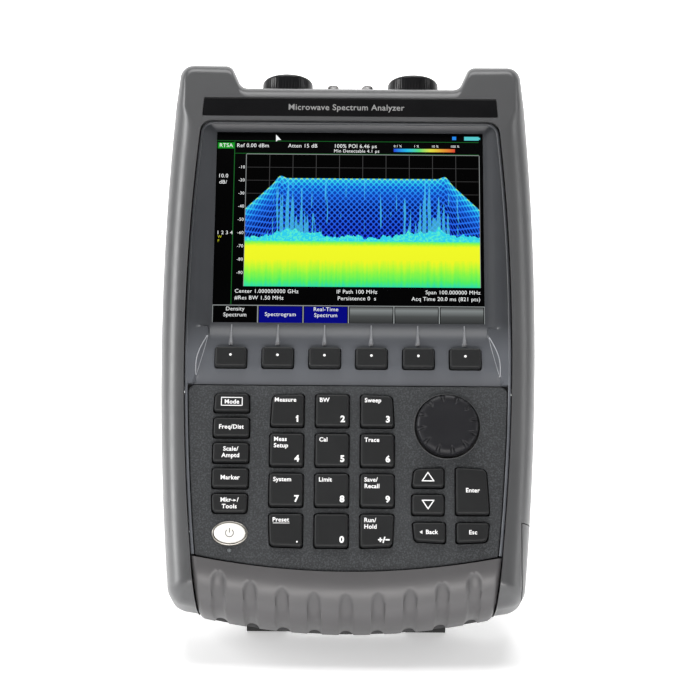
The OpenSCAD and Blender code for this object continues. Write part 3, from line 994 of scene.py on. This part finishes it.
def keypad_panel():
    bm = bmesh.new()
    rings = []
    for z, inset in ((Z_SHEET, 0.0), (Z_PANEL - 0.35, 0.0), (Z_PANEL - 0.1, 0.12), (Z_PANEL, 0.4)):
        rings.append([(x, y, z) for x, y in keypad_outline(inset)])
    loft(bm, rings)
    obj = make_object("keypad_panel", bm, ["panel"])
    cut = bmesh.new()
    key_holes(cut, Z_SHEET - 2.0, 0.65)
    lathe(cut, [(16.0, Z_SHEET - 2.0), (16.0, HOLE_TOP)], (*KNOB, 0), steps=96)
    ring_hole(cut, Z_SHEET - 2.0)
    lathe(cut, [(1.05, Z_SHEET - 2.0), (1.05, HOLE_TOP)], (*LED, 0), steps=24)
    carve(obj, cut)
    soften(obj, 0.25)
    settle(obj, "panel_grey")
    # Near-black plate under the keypad panel, reaching 1.4 mm past its edge: painted shade in the gap round
    # the panel
    bm = bmesh.new()
    plate(bm, keypad_outline(-1.4), Z_SHEET - 1.0, Z_SHEET + 0.9)
    well = make_object("keypad_groove", bm, ["seam"])
    cut = bmesh.new()
    key_holes(cut, Z_SHEET - 3.0, 0.6)
    ring_hole(cut, Z_SHEET - 3.0)
    lathe(cut, [(8.0, Z_SHEET - 3.0), (8.0, HOLE_TOP)], (*KNOB, 0), steps=48)
    carve(well, cut)
    settle(well, "panel_grey", replaces=False)
    bm = bmesh.new()
    lens = [(0.97, Z_SHEET), (0.97, Z_PANEL + 0.25), (0.8, Z_PANEL + 0.45), (0.3, Z_PANEL + 0.5)]
    lathe(bm, lens, (*LED, 0), steps=20)
    piece("power_led", bm, ["led"], "panel_grey", replaces=False)
    bm = bmesh.new()
    ringline = [(KNOB[0] + 16.3 * math.cos(a), KNOB[1] + 16.3 * math.sin(a), Z_PANEL + 0.05)
                for a in (2 * math.pi * k / 96 for k in range(96))]
    sweep(bm, ringline, 0.24, 8, closed=True)
    piece("knob_ring_line", bm, ["case"], "panel_grey", sharp=60.0, replaces=False)


def strip_outline(grow=0.0):
    low, high = 260.3 - grow, 270.1 + grow
    return fillet([(-75.4 - grow, low, 0.8), (75.4 + grow, low, 0.8), (74.6 + grow, high, 0.8),
                   (-74.6 - grow, high, 0.8)], 5)


def name_strip():
    bm = bmesh.new()
    outline = strip_outline()
    levels = ((Z_FRONT - 0.75, 0.0), (Z_FRONT - 0.2, 0.0), (Z_FRONT - 0.05, -0.25), (Z_FRONT - 0.05, -0.6))
    prism(bm, outline, (0.0, 265.2), levels)
    text(bm, "Microwave Spectrum Analyzer", 4.5, (-2.0, 265.0, Z_FRONT - 0.02), weight=0.05)
    piece("name_strip", bm, ["strip", "strip_ink"], "strip_black")


# ---- Keys ----------------------------------------------------------------------------------

SOFTKEY_PITCH = 23.15
SOFTKEY_Y = 132.2
SOFTKEY_SIZE = (15.4, 10.1)
POWER = (-56.4, 44.2)
POWER_OVAL = (15.2, 9.6)
POWER_HOLE = (17.0, 11.6)
LED = (-56.4, 36.0)
DIGIT_X, DIGIT_Y = -7.5, 105.4
DIGIT_PITCH = (22.1, 19.9)
DIGIT_SIZE = (16.1, 16.1)
FUNCTION_X, FUNCTION_Y, FUNCTION_PITCH = -56.8, 109.2, 12.65
FUNCTION_SIZE = (17.3, 9.5)
SQUARE = (0, 0, 0, 0)             # a key with no corner drawn in
KEY_RADIUS = 1.3
INK_WEIGHT = 0.065                # how much bolder the legends are than the font
DIGIT_WEIGHT = 0.17


def key_outline(centre, size, cut=SQUARE):
    """A rounded key; cut draws in the lower-left, lower-right, upper-right and upper-left corner."""
    hx, hy = size[0] / 2, size[1] / 2
    cx, cy = centre
    signs = ((-1, -1), (1, -1), (1, 1), (-1, 1))
    corners = []
    for (sx, sy), c in zip(signs, cut):
        corners.append((cx + sx * (hx - c), cy + sy * (hy - c * 0.75), KEY_RADIUS + c * 1.1))
    return fillet(corners, 6)


def softkey_outline(i):
    centre = ((i - 2.5) * SOFTKEY_PITCH, SOFTKEY_Y)
    return key_outline(centre, SOFTKEY_SIZE), centre


def oval_outline(width, height):
    """The power key's oval, or its ring's."""
    cx, cy = POWER
    angles = [2 * math.pi * k / 64 for k in range(64)]
    return [(cx + width / 2 * math.cos(a), cy + height / 2 * math.sin(a)) for a in angles]


FUNCTION_WORDS = [("key_mode", "Mode"), ("key_freq", "Freq/Dist"), ("key_scale", "Scale/\nAmptd"),
                  ("key_marker", "Marker"), ("key_marker_tools", "Mkr   /\nTools")]
FUNCTION_CUTS = {"key_mode": (0, 0, 0.5, 0.5), "key_marker_tools": (0.5, 0.5, 0, 0)}
DIGIT_WORDS = [("key_1", "Measure", "1"), ("key_2", "BW", "2"), ("key_3", "Sweep", "3"),
               ("key_4", "Meas\nSetup", "4"), ("key_5", "Cal", "5"), ("key_6", "Trace", "6"),
               ("key_7", "System", "7"), ("key_8", "Limit", "8"), ("key_9", "Save/\nRecall", "9"),
               ("key_point", "Preset", "."), ("key_0", "", "0"), ("key_sign", "Run/\nHold", "+/−")]
DIGIT_CUTS = {"key_1": (0, 0, 0, 0.9), "key_3": (0, 0, 0.9, 0), "key_point": (0.7, 0, 0, 0),
              "key_sign": (0, 0.8, 0, 0)}
CURSOR_KEYS = {"key_up": ((39.2, 72.2), (15.4, 9.6), (0, 0, 0, 1.0)),
               "key_down": ((39.2, 58.8), (15.4, 9.8), SQUARE),
               "key_enter": ((60.8, 65.7), (16.2, 23.2), (0, 0, 1.3, 0)),
               "key_back": ((39.6, 45.1), (15.8, 9.8), (1.0, 0, 0, 0)),
               "key_esc": ((60.8, 45.1), (15.8, 9.8), (0, 1.0, 0, 0))}


def panel_keys():
    found = {}
    for i, (name, _) in enumerate(FUNCTION_WORDS):
        centre = (FUNCTION_X, FUNCTION_Y - i * FUNCTION_PITCH)
        found[name] = (key_outline(centre, FUNCTION_SIZE, FUNCTION_CUTS.get(name, SQUARE)), centre)
    for i, (name, _, _) in enumerate(DIGIT_WORDS):
        centre = (DIGIT_X + (i % 3 - 1) * DIGIT_PITCH[0], DIGIT_Y - (i // 3) * DIGIT_PITCH[1])
        found[name] = (key_outline(centre, DIGIT_SIZE, DIGIT_CUTS.get(name, SQUARE)), centre)
    for name, (centre, size, cut) in CURSOR_KEYS.items():
        found[name] = (key_outline(centre, (size[0] - 0.1, size[1] - 0.1), cut), centre)
    return found


PANEL_KEYS = panel_keys()


def key_body(bm, outline, centre, top):
    levels = ((Z_KEY_FOOT, 0.0), (top - 1.3, 0.0), (top - 0.75, -0.1), (top - 0.35, -0.32),
              (top - 0.1, -0.65), (top, -1.05), (top, -1.5))
    prism(bm, outline, centre, levels)


def line_plate(bm, points, width):
    """A closed thin outline of straight strokes, printed on a key's top."""
    count = len(points)
    for i, p in enumerate(points):
        a, b = Vector(p), Vector(points[(i + 1) % count])
        d = (b - a).normalized() * width / 2
        n = Vector((-d.y, d.x))
        corners = [tuple(c) for c in (a - d - n, b + d - n, b + d + n, a - d + n)]
        mark(bm, *corners)


def mark(bm, *points):
    """A printed shape on a key's top."""
    plate(bm, points, Z_KEY - 0.03, Z_KEY + 0.02, 1)


def finish_key(bm, name):
    piece(name, bm, ["key", "legend"], "key_black", body=name)


def softkeys():
    for i in range(6):
        bm = bmesh.new()
        outline, centre = softkey_outline(i)
        key_body(bm, outline, centre, Z_KEY + 1.0)
        dot = [(0.62, Z_KEY + 0.95), (0.62, Z_KEY + 1.03)]
        lathe(bm, dot, (centre[0] - 0.1, centre[1] + 0.7, 0), steps=24, material=1)
        finish_key(bm, f"softkey_{i + 1}")


def function_keys():
    for name, words in FUNCTION_WORDS:
        outline, (cx, cy) = PANEL_KEYS[name]
        bm = bmesh.new()
        key_body(bm, outline, (cx, cy), Z_KEY)
        text(bm, words, 3.0, (cx, cy - 0.05, Z_KEY), weight=INK_WEIGHT)
        if name == "key_mode":
            left, right, low, high = cx - 5.1, cx + 5.1, cy - 1.9, cy + 2.1
            line_plate(bm, [(left, low), (right, low), (right, high), (left, high)], 0.42)
        if name == "key_marker_tools":
            quad(bm, cx + 0.6, cy + 1.25, cx + 2.3, cy + 1.5, Z_KEY + 0.02, 0.05, 1)
            mark(bm, (cx + 2.0, cy + 0.75), (cx + 3.3, cy + 1.38), (cx + 2.0, cy + 2.0))
        finish_key(bm, name)


def digit_keys():
    for name, words, digit in DIGIT_WORDS:
        outline, (cx, cy) = PANEL_KEYS[name]
        bm = bmesh.new()
        key_body(bm, outline, (cx, cy), Z_KEY)
        if words:
            lines = words.count("\n")
            text(bm, words, 2.95, (cx - 6.3, cy + 4.9 - 1.5 * lines, Z_KEY), "LEFT", INK_WEIGHT)
        if name == "key_point":
            quad(bm, cx - 6.0, cy + 3.2, cx + 2.0, cy + 3.45, Z_KEY + 0.02, 0.05, 1)
        if digit == "1":
            flag = ((4.25, -4.3), (4.25, -3.7), (5.45, -3.0), (5.45, -3.75))
            mark(bm, *((cx + x, cy + y) for x, y in flag))
        size = 4.4 if name != "key_sign" else 3.8
        text(bm, digit, size, (cx + 6.2, cy - 4.7, Z_KEY), "RIGHT", DIGIT_WEIGHT)
        finish_key(bm, name)


def cursor_keys():
    for name in CURSOR_KEYS:
        outline, (cx, cy) = PANEL_KEYS[name]
        bm = bmesh.new()
        key_body(bm, outline, (cx, cy), Z_KEY)
        if name in ("key_up", "key_down"):
            s = 1 if name == "key_up" else -1
            base = cy - 1.9 * s
            line_plate(bm, [(cx - 2.8, base), (cx + 2.8, base), (cx, cy + 2.3 * s)], 0.5)
        elif name == "key_back":
            text(bm, "Back", 2.9, (cx + 1.3, cy, Z_KEY), weight=INK_WEIGHT)
            mark(bm, (cx - 3.2, cy - 0.9), (cx - 3.2, cy + 0.9), (cx - 4.5, cy))
        else:
            text(bm, "Enter" if name == "key_enter" else "Esc", 2.9, (cx, cy, Z_KEY), weight=INK_WEIGHT)
        finish_key(bm, name)


def power_key():
    bm = bmesh.new()
    levels = ((Z_KEY_FOOT, 0.0), (Z_KEY - 0.9, 0.0), (Z_KEY - 0.5, -0.15), (Z_KEY - 0.15, -0.6),
              (Z_KEY, -1.3), (Z_KEY + 0.1, -2.4), (Z_KEY + 0.12, -3.2))
    prism(bm, oval_outline(*POWER_OVAL), POWER, levels)
    x, y = POWER
    arc = [(x + 1.9 * math.sin(a), y - 0.25 + 1.9 * math.cos(a), Z_KEY + 0.13)
           for a in (math.radians(38 + 284 * k / 28) for k in range(29))]
    sweep(bm, arc, 0.25, 8, material=1, flat=0.3)
    quad(bm, x - 0.25, y - 0.1, x + 0.25, y + 2.2, Z_KEY + 0.17, 0.06, 1)
    piece("power_key", bm, ["power", "power_ink"], "power_white", body="power_key")
    bm = bmesh.new()
    outer = [(Z_SHEET, 16.4, 11.0), (Z_PANEL, 16.4, 11.0), (Z_PANEL + 0.1, 17.6, 12.2),
             (Z_PANEL + 0.7, 17.5, 12.1), (Z_PANEL + 1.15, 16.9, 11.5), (Z_PANEL + 1.2, 16.4, 11.0),
             (Z_PANEL + 0.9, 15.9, 10.4), (Z_SHEET, 15.8, 10.3)]
    rows = [[bm.verts.new((px, py, z)) for px, py in oval_outline(w, h)] for z, w, h in outer]
    skin(bm, rows + rows[:1])
    piece("power_ring", bm, ["ring"], "ring_silver", sharp=50.0)


def tuning_knob():
    bm = bmesh.new()
    steps, marks = 288, 12
    profile = [(14.9, 63.0), (15.1, 63.4), (15.1, 66.4), (15.05, 67.4), (14.8, 68.2), (14.4, 68.75),
               (13.8, 69.15), (13.0, 69.4), (12.2, 69.5), (11.4, 69.5), (10.6, 69.45), (9.6, 69.35),
               (8.0, 69.15), (6.0, 68.95), (4.0, 68.85), (2.0, 68.8), (0.5, 68.8)]
    rings = []
    for r, z in profile:
        line = []
        for k in range(steps):
            a = 2 * math.pi * k / steps
            off = ((a - 0.17) / (2 * math.pi) * marks) % 1.0
            off = min(off, 1 - off) * (2 * math.pi / marks) * 15.0
            reach = smoothstep(10.4, 13.0, r)
            wide = 0.3 + 0.85 * reach
            dent = max(0.0, 1 - (off / wide) ** 2) ** 0.6 * reach * smoothstep(66.2, 68.6, z)
            rr = r - 0.45 * dent
            line.append((KNOB[0] + rr * math.cos(a), KNOB[1] + rr * math.sin(a), z - 1.15 * dent))
        rings.append(line)
    loft(bm, rings)
    lathe(bm, [(3.0, 60.0), (3.0, 65.0)], (*KNOB, 0), steps=32)
    piece("tuning_knob", bm, ["knob"], "knob_black", sharp=50.0, body="tuning_knob")


# ---- Display ----------------------------------------------------------------------------------

SCREEN_W, SCREEN_H = 2 * WINDOW[0], WINDOW[2] - WINDOW[1]
Z_UI = Z_SHEET + 0.06
UI_TEXT = 2.75                    # letter size of most words on the screen
UI_TEXT_GAIN = 1.04


def screen_xy(u, v):
    """Millimetres of a place on the screen, u from the left and v from the top, 0 to 1."""
    return (-WINDOW[0] + u * SCREEN_W, WINDOW[2] - v * SCREEN_H)


GRAPH = (0.113, 0.985, 0.118, 0.812)     # left, right, top, bottom


def spectrum_material():
    """The density spectrum: signal plateau with its lattice, noise floor, and grid."""
    n = Nodes("spectrum_trace")
    x0, y1 = screen_xy(GRAPH[0], GRAPH[2])
    x1, y0 = screen_xy(GRAPH[1], GRAPH[3])
    where = n.coords()
    along, up, _ = n.axes()
    gx = n.over(n.minus(along, x0 * MM), (x1 - x0) * MM)
    gy = n.over(n.minus(up, y0 * MM), (y1 - y0) * MM)
    slope, start, plateau, rounding = 1.62, 0.585, 0.818, 0.035
    rise = n.plus(n.times(gx, slope), start)
    fall = n.plus(n.times(n.minus(1.0, gx), slope), start)
    bound = n.math("SMOOTH_MIN", n.math("MINIMUM", rise, fall), plateau, rounding)
    knuckles = n.ramp(gx, [(0.11, 0.0), (0.145, 0.02), (0.18, 0.0), (0.82, 0.0),
                           (0.855, 0.02), (0.89, 0.0)], smooth=True)
    top = n.plus(bound, knuckles)
    depth = n.minus(top, gy)
    inside = n.above(depth, 0.0)
    # The lattice: two sets of slanting waves, 21 across the graph, crossing each other
    across, down, turn = 21.0, 11.5, 6.283
    slants = [join(n.times(gx, across), n.times(depth, down)) for join in (n.plus, n.minus)]
    waves = [n.math("SINE", n.times(slant, turn)) for slant in slants]
    lattice = n.absolute(n.times(*waves))
    base = n.ramp(depth, [(0.0, (0.45, 0.85, 0.1)), (0.014, (0.04, 0.80, 0.85)), (0.06, (0.02, 0.45, 0.95)),
                          (0.13, (0.02, 0.20, 0.95)), (0.5, (0.015, 0.05, 0.80))])
    dark = n.ramp(depth, [(0.0, (0.02, 0.35, 0.8)), (0.06, (0.005, 0.08, 0.6)), (0.22, (0.0, 0.005, 0.12)),
                          (0.5, (0.0, 0.0, 0.09))])
    signal = n.mix(n.ramp(lattice, [(0.12, 0.0), (0.5, 1.0)]), base, dark)
    column = n.node("ShaderNodeCombineXYZ", n.times(gx, 70.0), n.times(gy, 2.2)).outputs[0]
    spikes = n.noise(column, 1.0, 2.0)
    away = n.absolute(n.minus(gx, 0.5))
    lobe = n.ramp(away, [(0.0, 0.02), (0.12, 0.05), (0.24, 0.42), (0.33, 0.62),
                         (0.36, 0.3), (0.42, 0.0), (1.0, 0.0)])
    high = n.ramp(gy, [(0.40, 0.62), (0.72, 0.1)])
    teeth = n.absolute(n.math("SINE", n.times(gx, 150.0)))
    combed = n.plus(n.plus(spikes, n.times(lobe, high)), n.times(teeth, 0.16))
    combed = n.above(combed, 0.80)
    signal = n.mix(n.times(combed, 0.6), signal, (0.08, 0.62, 0.9, 1.0))
    grain = n.noise(where, 900.0, 3.0, 0.7)
    floor_top = n.plus(n.times(n.noise(column, 0.55, 3.0), 0.12), 0.315)
    floor_top = n.plus(floor_top, n.times(lobe, 0.09))
    haze = n.mix(n.above(grain, 0.52), (0.03, 0.62, 0.85, 1.0), (0.10, 0.85, 0.62, 1.0))
    signal = n.mix(n.below(gy, floor_top), signal, haze)
    level = n.plus(gy, n.times(n.minus(grain, 0.5), 0.03))
    streaks = n.times(n.minus(spikes, 0.5), 0.09)
    level = n.plus(level, n.times(streaks, n.below(gy, 0.2)))
    ground = n.ramp(level, [(0.0, (0.03, 0.72, 0.38)), (0.04, (0.08, 0.86, 0.12)),
                            (0.10, (0.25, 0.92, 0.06)), (0.16, (0.60, 0.94, 0.03)),
                            (0.20, (0.86, 0.93, 0.02)), (0.30, (0.88, 0.95, 0.02)),
                            (0.325, (0.30, 0.95, 0.05)), (0.345, (0.04, 0.85, 0.30))])
    signal = n.mix(n.below(gy, n.plus(0.335, n.times(grain, 0.012))), signal, ground)
    squares, wide_x, wide_y = 10.0, 0.013, 0.016
    near = [n.absolute(n.minus(n.math("FRACT", n.plus(n.times(g, squares), 0.5)), 0.5)) for g in (gx, gy)]
    lines = n.math("MAXIMUM", n.below(near[0], wide_x), n.below(near[1], wide_y))
    empty = n.mix(lines, (0.0, 0.0, 0.0, 1.0), (0.05, 0.05, 0.05, 1.0))
    n.set("Specular IOR Level", 0.03)
    n.glow(n.mix(inside, empty, signal))
    return n.mat


def bar_material():
    """The colour scale of the density display."""
    n = Nodes("colour_scale")
    x0, x1 = screen_xy(0.665, 0)[0] * MM, screen_xy(0.895, 0)[0] * MM
    along = n.over(n.minus(n.axes()[0], x0), x1 - x0)
    colours = [(0.0, (0.0, 0.05, 0.9)), (0.22, (0.0, 0.6, 0.95)), (0.42, (0.1, 0.85, 0.2)),
               (0.6, (0.9, 0.9, 0.05)), (0.8, (0.95, 0.4, 0.02)), (1.0, (0.9, 0.05, 0.02))]
    n.glow(n.ramp(along, colours), 0.8)
    return n.mat


def cell_material():
    """Unused soft-key cells: a grey band fading down."""
    n = Nodes("idle_cells")
    y0, y1 = screen_xy(0, 1.0)[1] * MM, screen_xy(0, 0.915)[1] * MM
    up = n.over(n.minus(n.axes()[1], y0), y1 - y0)
    n.glow(n.ramp(up, [(0.0, (0.012, 0.014, 0.014)), (0.45, (0.055, 0.06, 0.06)),
                       (0.8, (0.20, 0.22, 0.22)), (1.0, (0.05, 0.05, 0.05))]))
    return n.mat


def ui_text(bm, words, size, u, v, align="LEFT", material=0):
    """Words on the screen at a place given from 0 to 1."""
    x, y = screen_xy(u, v)
    text(bm, words, size * UI_TEXT_GAIN, (x, y, Z_UI + 0.05), align, 0.0, 0.02, material)


def ui_plate(bm, u0, v0, u1, v1, material=0):
    """A lit field on the screen between two corners given from 0 to 1."""
    x0, y0 = screen_xy(u0, v1)
    x1, y1 = screen_xy(u1, v0)
    quad(bm, x0, y0, x1, y1, Z_UI, 0.02, material)


# Words, letter size, place on the screen and alignment
TOP_WORDS = (("RTSA", UI_TEXT, 0.035, 0.072, "CENTER"), ("Ref 0.00 dBm", UI_TEXT, 0.075, 0.072),
             ("Atten 15 dB", UI_TEXT, 0.268, 0.072), ("100% POI 6.46 µs", UI_TEXT, 0.44, 0.072),
             ("Min Detectable 4.1 µs", 2.35, 0.44, 0.098))
SIDE_WORDS = (("10.0", UI_TEXT, 0.008, 0.235), ("dB/", UI_TEXT, 0.012, 0.268), ("1 2 3 4", 2.6, 0.008, 0.535))
# Place across the screen, alignment and the two lines
BOTTOM_WORDS = ((0.08, "LEFT", "Center 1.000000000 GHz", "#Res BW 1.50 MHz"),
                (0.53, "CENTER", "IF Path 100 MHz", "Persistence 0  s"),
                (0.985, "RIGHT", "Span 100.000000 MHz", "Acq Time 20.0 ms (821 pts)"))


def display():
    bm = bmesh.new()
    box_mesh(bm, (-70.5, 149.0, Z_SHEET - 1.5), (70.5, 255.6, Z_SHEET), 0.3)
    piece("display_glass", bm, ["glass"], "screen_glass")
    bm = bmesh.new()
    ui_plate(bm, GRAPH[0], GRAPH[2], GRAPH[1], GRAPH[3])
    piece("display_spectrum", bm, [spectrum_material()], "screen_glass", replaces=False)
    bm = bmesh.new()
    ui_plate(bm, 0.665, 0.083, 0.895, 0.1, 0)
    for i, material in ((3, 1), (4, 1), (5, 1), (1, 2), (2, 2)):
        ui_plate(bm, (i + 0.03) / 6, 0.915, (i + 0.97) / 6, 0.998, material)
    ui_plate(bm, 0.004, 0.056, 0.066, 0.088, 3)
    for v in (0.045, 0.112):
        ui_plate(bm, 0.0 if v < 0.1 else 0.068, v, 0.985, v + 0.003, 4)
    ui_plate(bm, 0.066, 0.05, 0.069, 0.905, 4)
    for i in range(7):
        ui_plate(bm, i / 6 - 0.002, 0.912, i / 6 + 0.002, 1.0, 5)
    ui_plate(bm, 0.0, 0.908, 1.0, 0.912, 5)
    x0, x1, v0, v1 = GRAPH
    ui_plate(bm, x0 - 0.002, v0, x0, v1, 5)
    ui_plate(bm, x1, v0, x1 + 0.002, v1, 5)
    ui_plate(bm, x0, v0 - 0.003, x1, v0, 5)
    fields = [bar_material(), cell_material(), lit("cell_blue", (0.001, 0.002, 0.21)),
              lit("tag_green", (0.01, 0.32, 0.02)), lit("line_green", (0.01, 0.12, 0.02)),
              lit("line_grey", (0.28, 0.30, 0.30))]
    piece("display_fields", bm, fields, "screen_glass", replaces=False)
    bm = bmesh.new()
    for words, size, *place in TOP_WORDS:
        ui_text(bm, words, size, *place)
    for u, label in ((0.68, "0.1 %"), (0.75, "1 %"), (0.82, "10 %"), (0.895, "100 %")):
        ui_text(bm, label, 1.7, u, 0.07, "CENTER")
    for words, size, *place in SIDE_WORDS:
        ui_text(bm, words, size, *place)
    for i in range(1, 10):
        ui_text(bm, f"-{i}0", 2.2, 0.108, GRAPH[2] + (GRAPH[3] - GRAPH[2]) * i / 10, "RIGHT")
    for u, align, *lines in BOTTOM_WORDS:
        for words, v in zip(lines, (0.838, 0.872)):
            ui_text(bm, words, UI_TEXT, u, v, align)
    for i, label in enumerate(("Density\nSpectrum", "Spectrogram", "Real-Time\nSpectrum")):
        ui_text(bm, label, UI_TEXT, (i + 0.5) / 6, 0.944 if "\n" in label else 0.956, "CENTER")
    arrow = [screen_xy(u, v) for u, v in ((0.241, 0.040), (0.229, 0.041), (0.222, 0.05), (0.222, 0.012))]
    plate(bm, arrow, Z_UI, Z_UI + 0.05)
    piece("display_lettering", bm, [lit("text_white", (0.95, 0.97, 0.97))], "screen_glass", replaces=False)
    bm = bmesh.new()
    ui_plate(bm, 0.93, 0.016, 0.985, 0.036, 0)
    ui_plate(bm, 0.985, 0.021, 0.99, 0.031, 0)
    ui_plate(bm, 0.885, 0.016, 0.9, 0.034, 1)
    ui_text(bm, "W\nF", 1.9, 0.012, 0.567, "LEFT", 2)
    icons = [lit("icon_cyan", (0.1, 0.6, 0.62)), lit("icon_blue", (0.02, 0.25, 0.85)),
             lit("icon_yellow", (0.6, 0.6, 0.02))]
    piece("display_icons", bm, icons, "screen_glass", replaces=False)


# ---- Connector end and back --------------------------------------------------------------------

def dust_caps():
    def ribs(a, h):
        return 0.14 * math.cos(54 * a) if 281.5 < h < 289.0 else 0.0

    profile = [(8.6, 280.2), (12.9, 280.2), (13.2, 280.6), (13.2, 281.4), (13.2, 281.6), (13.2, 289.4),
               (13.2, 289.6), (13.1, 290.2), (12.6, 290.9), (11.8, 291.25), (11.0, 291.3), (10.6, 290.9),
               (2.0, 290.8)]
    for name, side in (("dust_cap_left", -1), ("dust_cap_right", 1)):
        bm = bmesh.new()
        lathe(bm, profile, (side * PORT_X, 0.0, Z_PORT), "Y", 216, ribs)
        piece(name, bm, ["cap"], "cap_black", sharp=40.0, body=name)


def sma_connectors():
    bm = bmesh.new()
    for side in (-1, 1):
        profile = [(3.1, 264.0), (3.1, 280.3)]
        y = 280.4
        while y < 288.6:
            profile += [(3.15, y), (2.85, y + 0.35)]
            y += 0.7
        profile += [(3.0, 288.8), (2.9, 289.0), (2.3, 289.0), (2.2, 288.6), (2.2, 283.1), (0.5, 283.05)]
        lathe(bm, profile, (side * COAX_X, 0.0, Z_PORT), "Y", 48)
        nut = [(4.6 * math.cos(math.pi / 3 * k), 4.6 * math.sin(math.pi / 3 * k)) for k in range(6)]
        levels = [(277.0, 1.0), (279.5, 1.0), (280.0, 0.92)]
        loft(bm, [[(side * COAX_X + x * g, y, Z_PORT + z * g) for x, z in nut] for y, g in levels])
        lathe(bm, [(0.45, 283.0), (0.45, 287.0), (0.2, 287.4)], (side * COAX_X, 0.0, Z_PORT), "Y", 16)
    piece("sma_connectors", bm, ["steel"], "gold", sharp=35.0)


BAIL_PIVOT = (0.0, 130.0, 3.2)
BAIL_L = 109.0
BAIL_BAR_R = 2.5


def bail_matrix():
    """The bail's own frame, hinged at its pivot and opened until its bar meets the floor."""
    pivot = at(*BAIL_PIVOT)
    drop = pivot.z - BAIL_BAR_R * MM
    lean = math.asin(drop / (BAIL_L * MM))
    leg = Vector((0.0, math.cos(lean), -math.sin(lean)))
    along = -leg
    normal = Vector((1, 0, 0)).cross(along)
    turn = Matrix((Vector((1, 0, 0)), along, normal)).transposed()
    return Matrix.Translation(pivot) @ turn.to_4x4()


def tilt_bail():
    bm = bmesh.new()
    for s in (-1, 1):
        low, high = sorted((s * 43.0, s * 49.5))
        box_mesh(bm, (low, -BAIL_L + 0.5, -2.3), (high, 2.2, 2.3), 1.1)
    lathe(bm, [(1.6, -49.5), (2.3, -49.2), (BAIL_BAR_R, -48.6), (BAIL_BAR_R, 48.6), (2.3, 49.2), (1.6, 49.5)],
          (0.0, -BAIL_L, 0.0), "X", 32)
    piece("tilt_bail", bm, ["bail"], "bail_grey", sharp=40.0, body="tilt_bail", matrix=bail_matrix())


def dress_nodes():
    """Materials for the CAD nodes that stay."""
    dress = {"lcd_panel": "glass", "keypad_membrane": "mat", "keypad_board": "board", "encoder": "aluminium",
             "main_board": "board", "rf_module": "aluminium", "battery_pack": "battery", "left_door": "door",
             "right_door": "door", "left_connectors": "battery", "right_connectors": "battery",
             "top_panel": "aluminium", "rf_ports": "steel", "hinge_pins": "steel", "rubber_feet": "foot",
             "housing_screws": "steel"}
    for name, kind in dress.items():
        node = frame["nodes"][name]
        node.data.materials.clear()
        node.data.materials.append(MAT[kind])


# ---- Stage -----------------------------------------------------------------------------------------

def stage_material():
    n = Nodes("studio_paper")
    cloud = n.noise(n.coords(), 3.0, 2.0)
    n.set("Base Color", n.ramp(cloud, [(0.2, (0.86, 0.86, 0.86)), (0.8, (0.88, 0.88, 0.88))]))
    n.set("Roughness", 0.9)
    n.set("Specular IOR Level", 0.1)
    n.set("Emission Color", (1.0, 1.0, 1.0, 1.0))
    # The paper glows less right against the object: a painted contact shadow, laid over the real one the
    # lamps cast
    across, deep, _ = n.axes()
    beside = n.minus(n.absolute(across), CAD_BOX[1][0])
    before = n.minus(n.absolute(deep), CAD_BOX[1][1])
    away = n.math("MAXIMUM", beside, before)
    n.set("Emission Strength", n.ramp(away, [(0.0, 0.40), (0.014, 0.85), (0.2, 1.0)]))
    return n.mat


def make_stage():
    bm = bmesh.new()
    half, back, radius, height = 3.0, 2.0, 0.8, 3.0
    profile = [(-3.0, 0.0), (back - radius, 0.0)]
    profile += [(back - radius + radius * math.sin(a), radius * (1 - math.cos(a)))
                for a in (math.pi / 2 * k / 16 for k in range(1, 17))]
    profile.append((back, height))
    rows = [[bm.verts.new((x / MM, y / MM, z / MM)) for x in (-half, half)] for y, z in profile]
    skin(bm, rows, closed=False)
    obj = make_object("studio_floor", bm, [stage_material()], 60.0)


def area_light(name, place, target, size, power, tone=(1.0, 1.0, 1.0)):
    data = bpy.data.lights.new(name, "AREA")
    data.shape = "RECTANGLE"
    data.size, data.size_y = size
    data.energy = power
    data.color = tone
    light = bpy.data.objects.new(name, data)
    bpy.context.scene.collection.objects.link(light)
    light.location = place
    aim = (Vector(target) - Vector(place)).to_track_quat("-Z", "Y")
    light.rotation_euler = aim.to_euler()


def make_lights():
    world = bpy.data.worlds.new("studio")
    world.use_nodes = True
    world.node_tree.nodes["Background"].inputs["Color"].default_value = (1.0, 1.0, 1.0, 1.0)
    world.node_tree.nodes["Background"].inputs["Strength"].default_value = 0.14
    bpy.context.scene.world = world
    middle = (0.0, 0.0, 0.12)
    area_light("top_box", (0.0, 0.1, 1.5), middle, (1.2, 0.8), 17.0)
    area_light("left_box", (-1.2, -0.08, 0.4), middle, (0.25, 1.2), 15.0)
    area_light("right_box", (1.2, -0.08, 0.4), middle, (0.25, 1.2), 4.0)
    area_light("low_box", (0.0, -1.1, 0.1), (0.0, 0.0, 0.03), (1.2, 0.16), 7.5, (1.0, 0.97, 0.96))
    bpy.context.scene.view_settings.view_transform = "Standard"


# ---- Build ------------------------------------------------------------------------------------------

front_housing()
rear_housing()
battery_door()
bottom_grip()
screen_bezel()
lip()
keypad_panel()
name_strip()
softkeys()
function_keys()
digit_keys()
cursor_keys()
power_key()
tuning_knob()
display()
dust_caps()
sma_connectors()
tilt_bail()
dress_nodes()
make_stage()
make_lights()
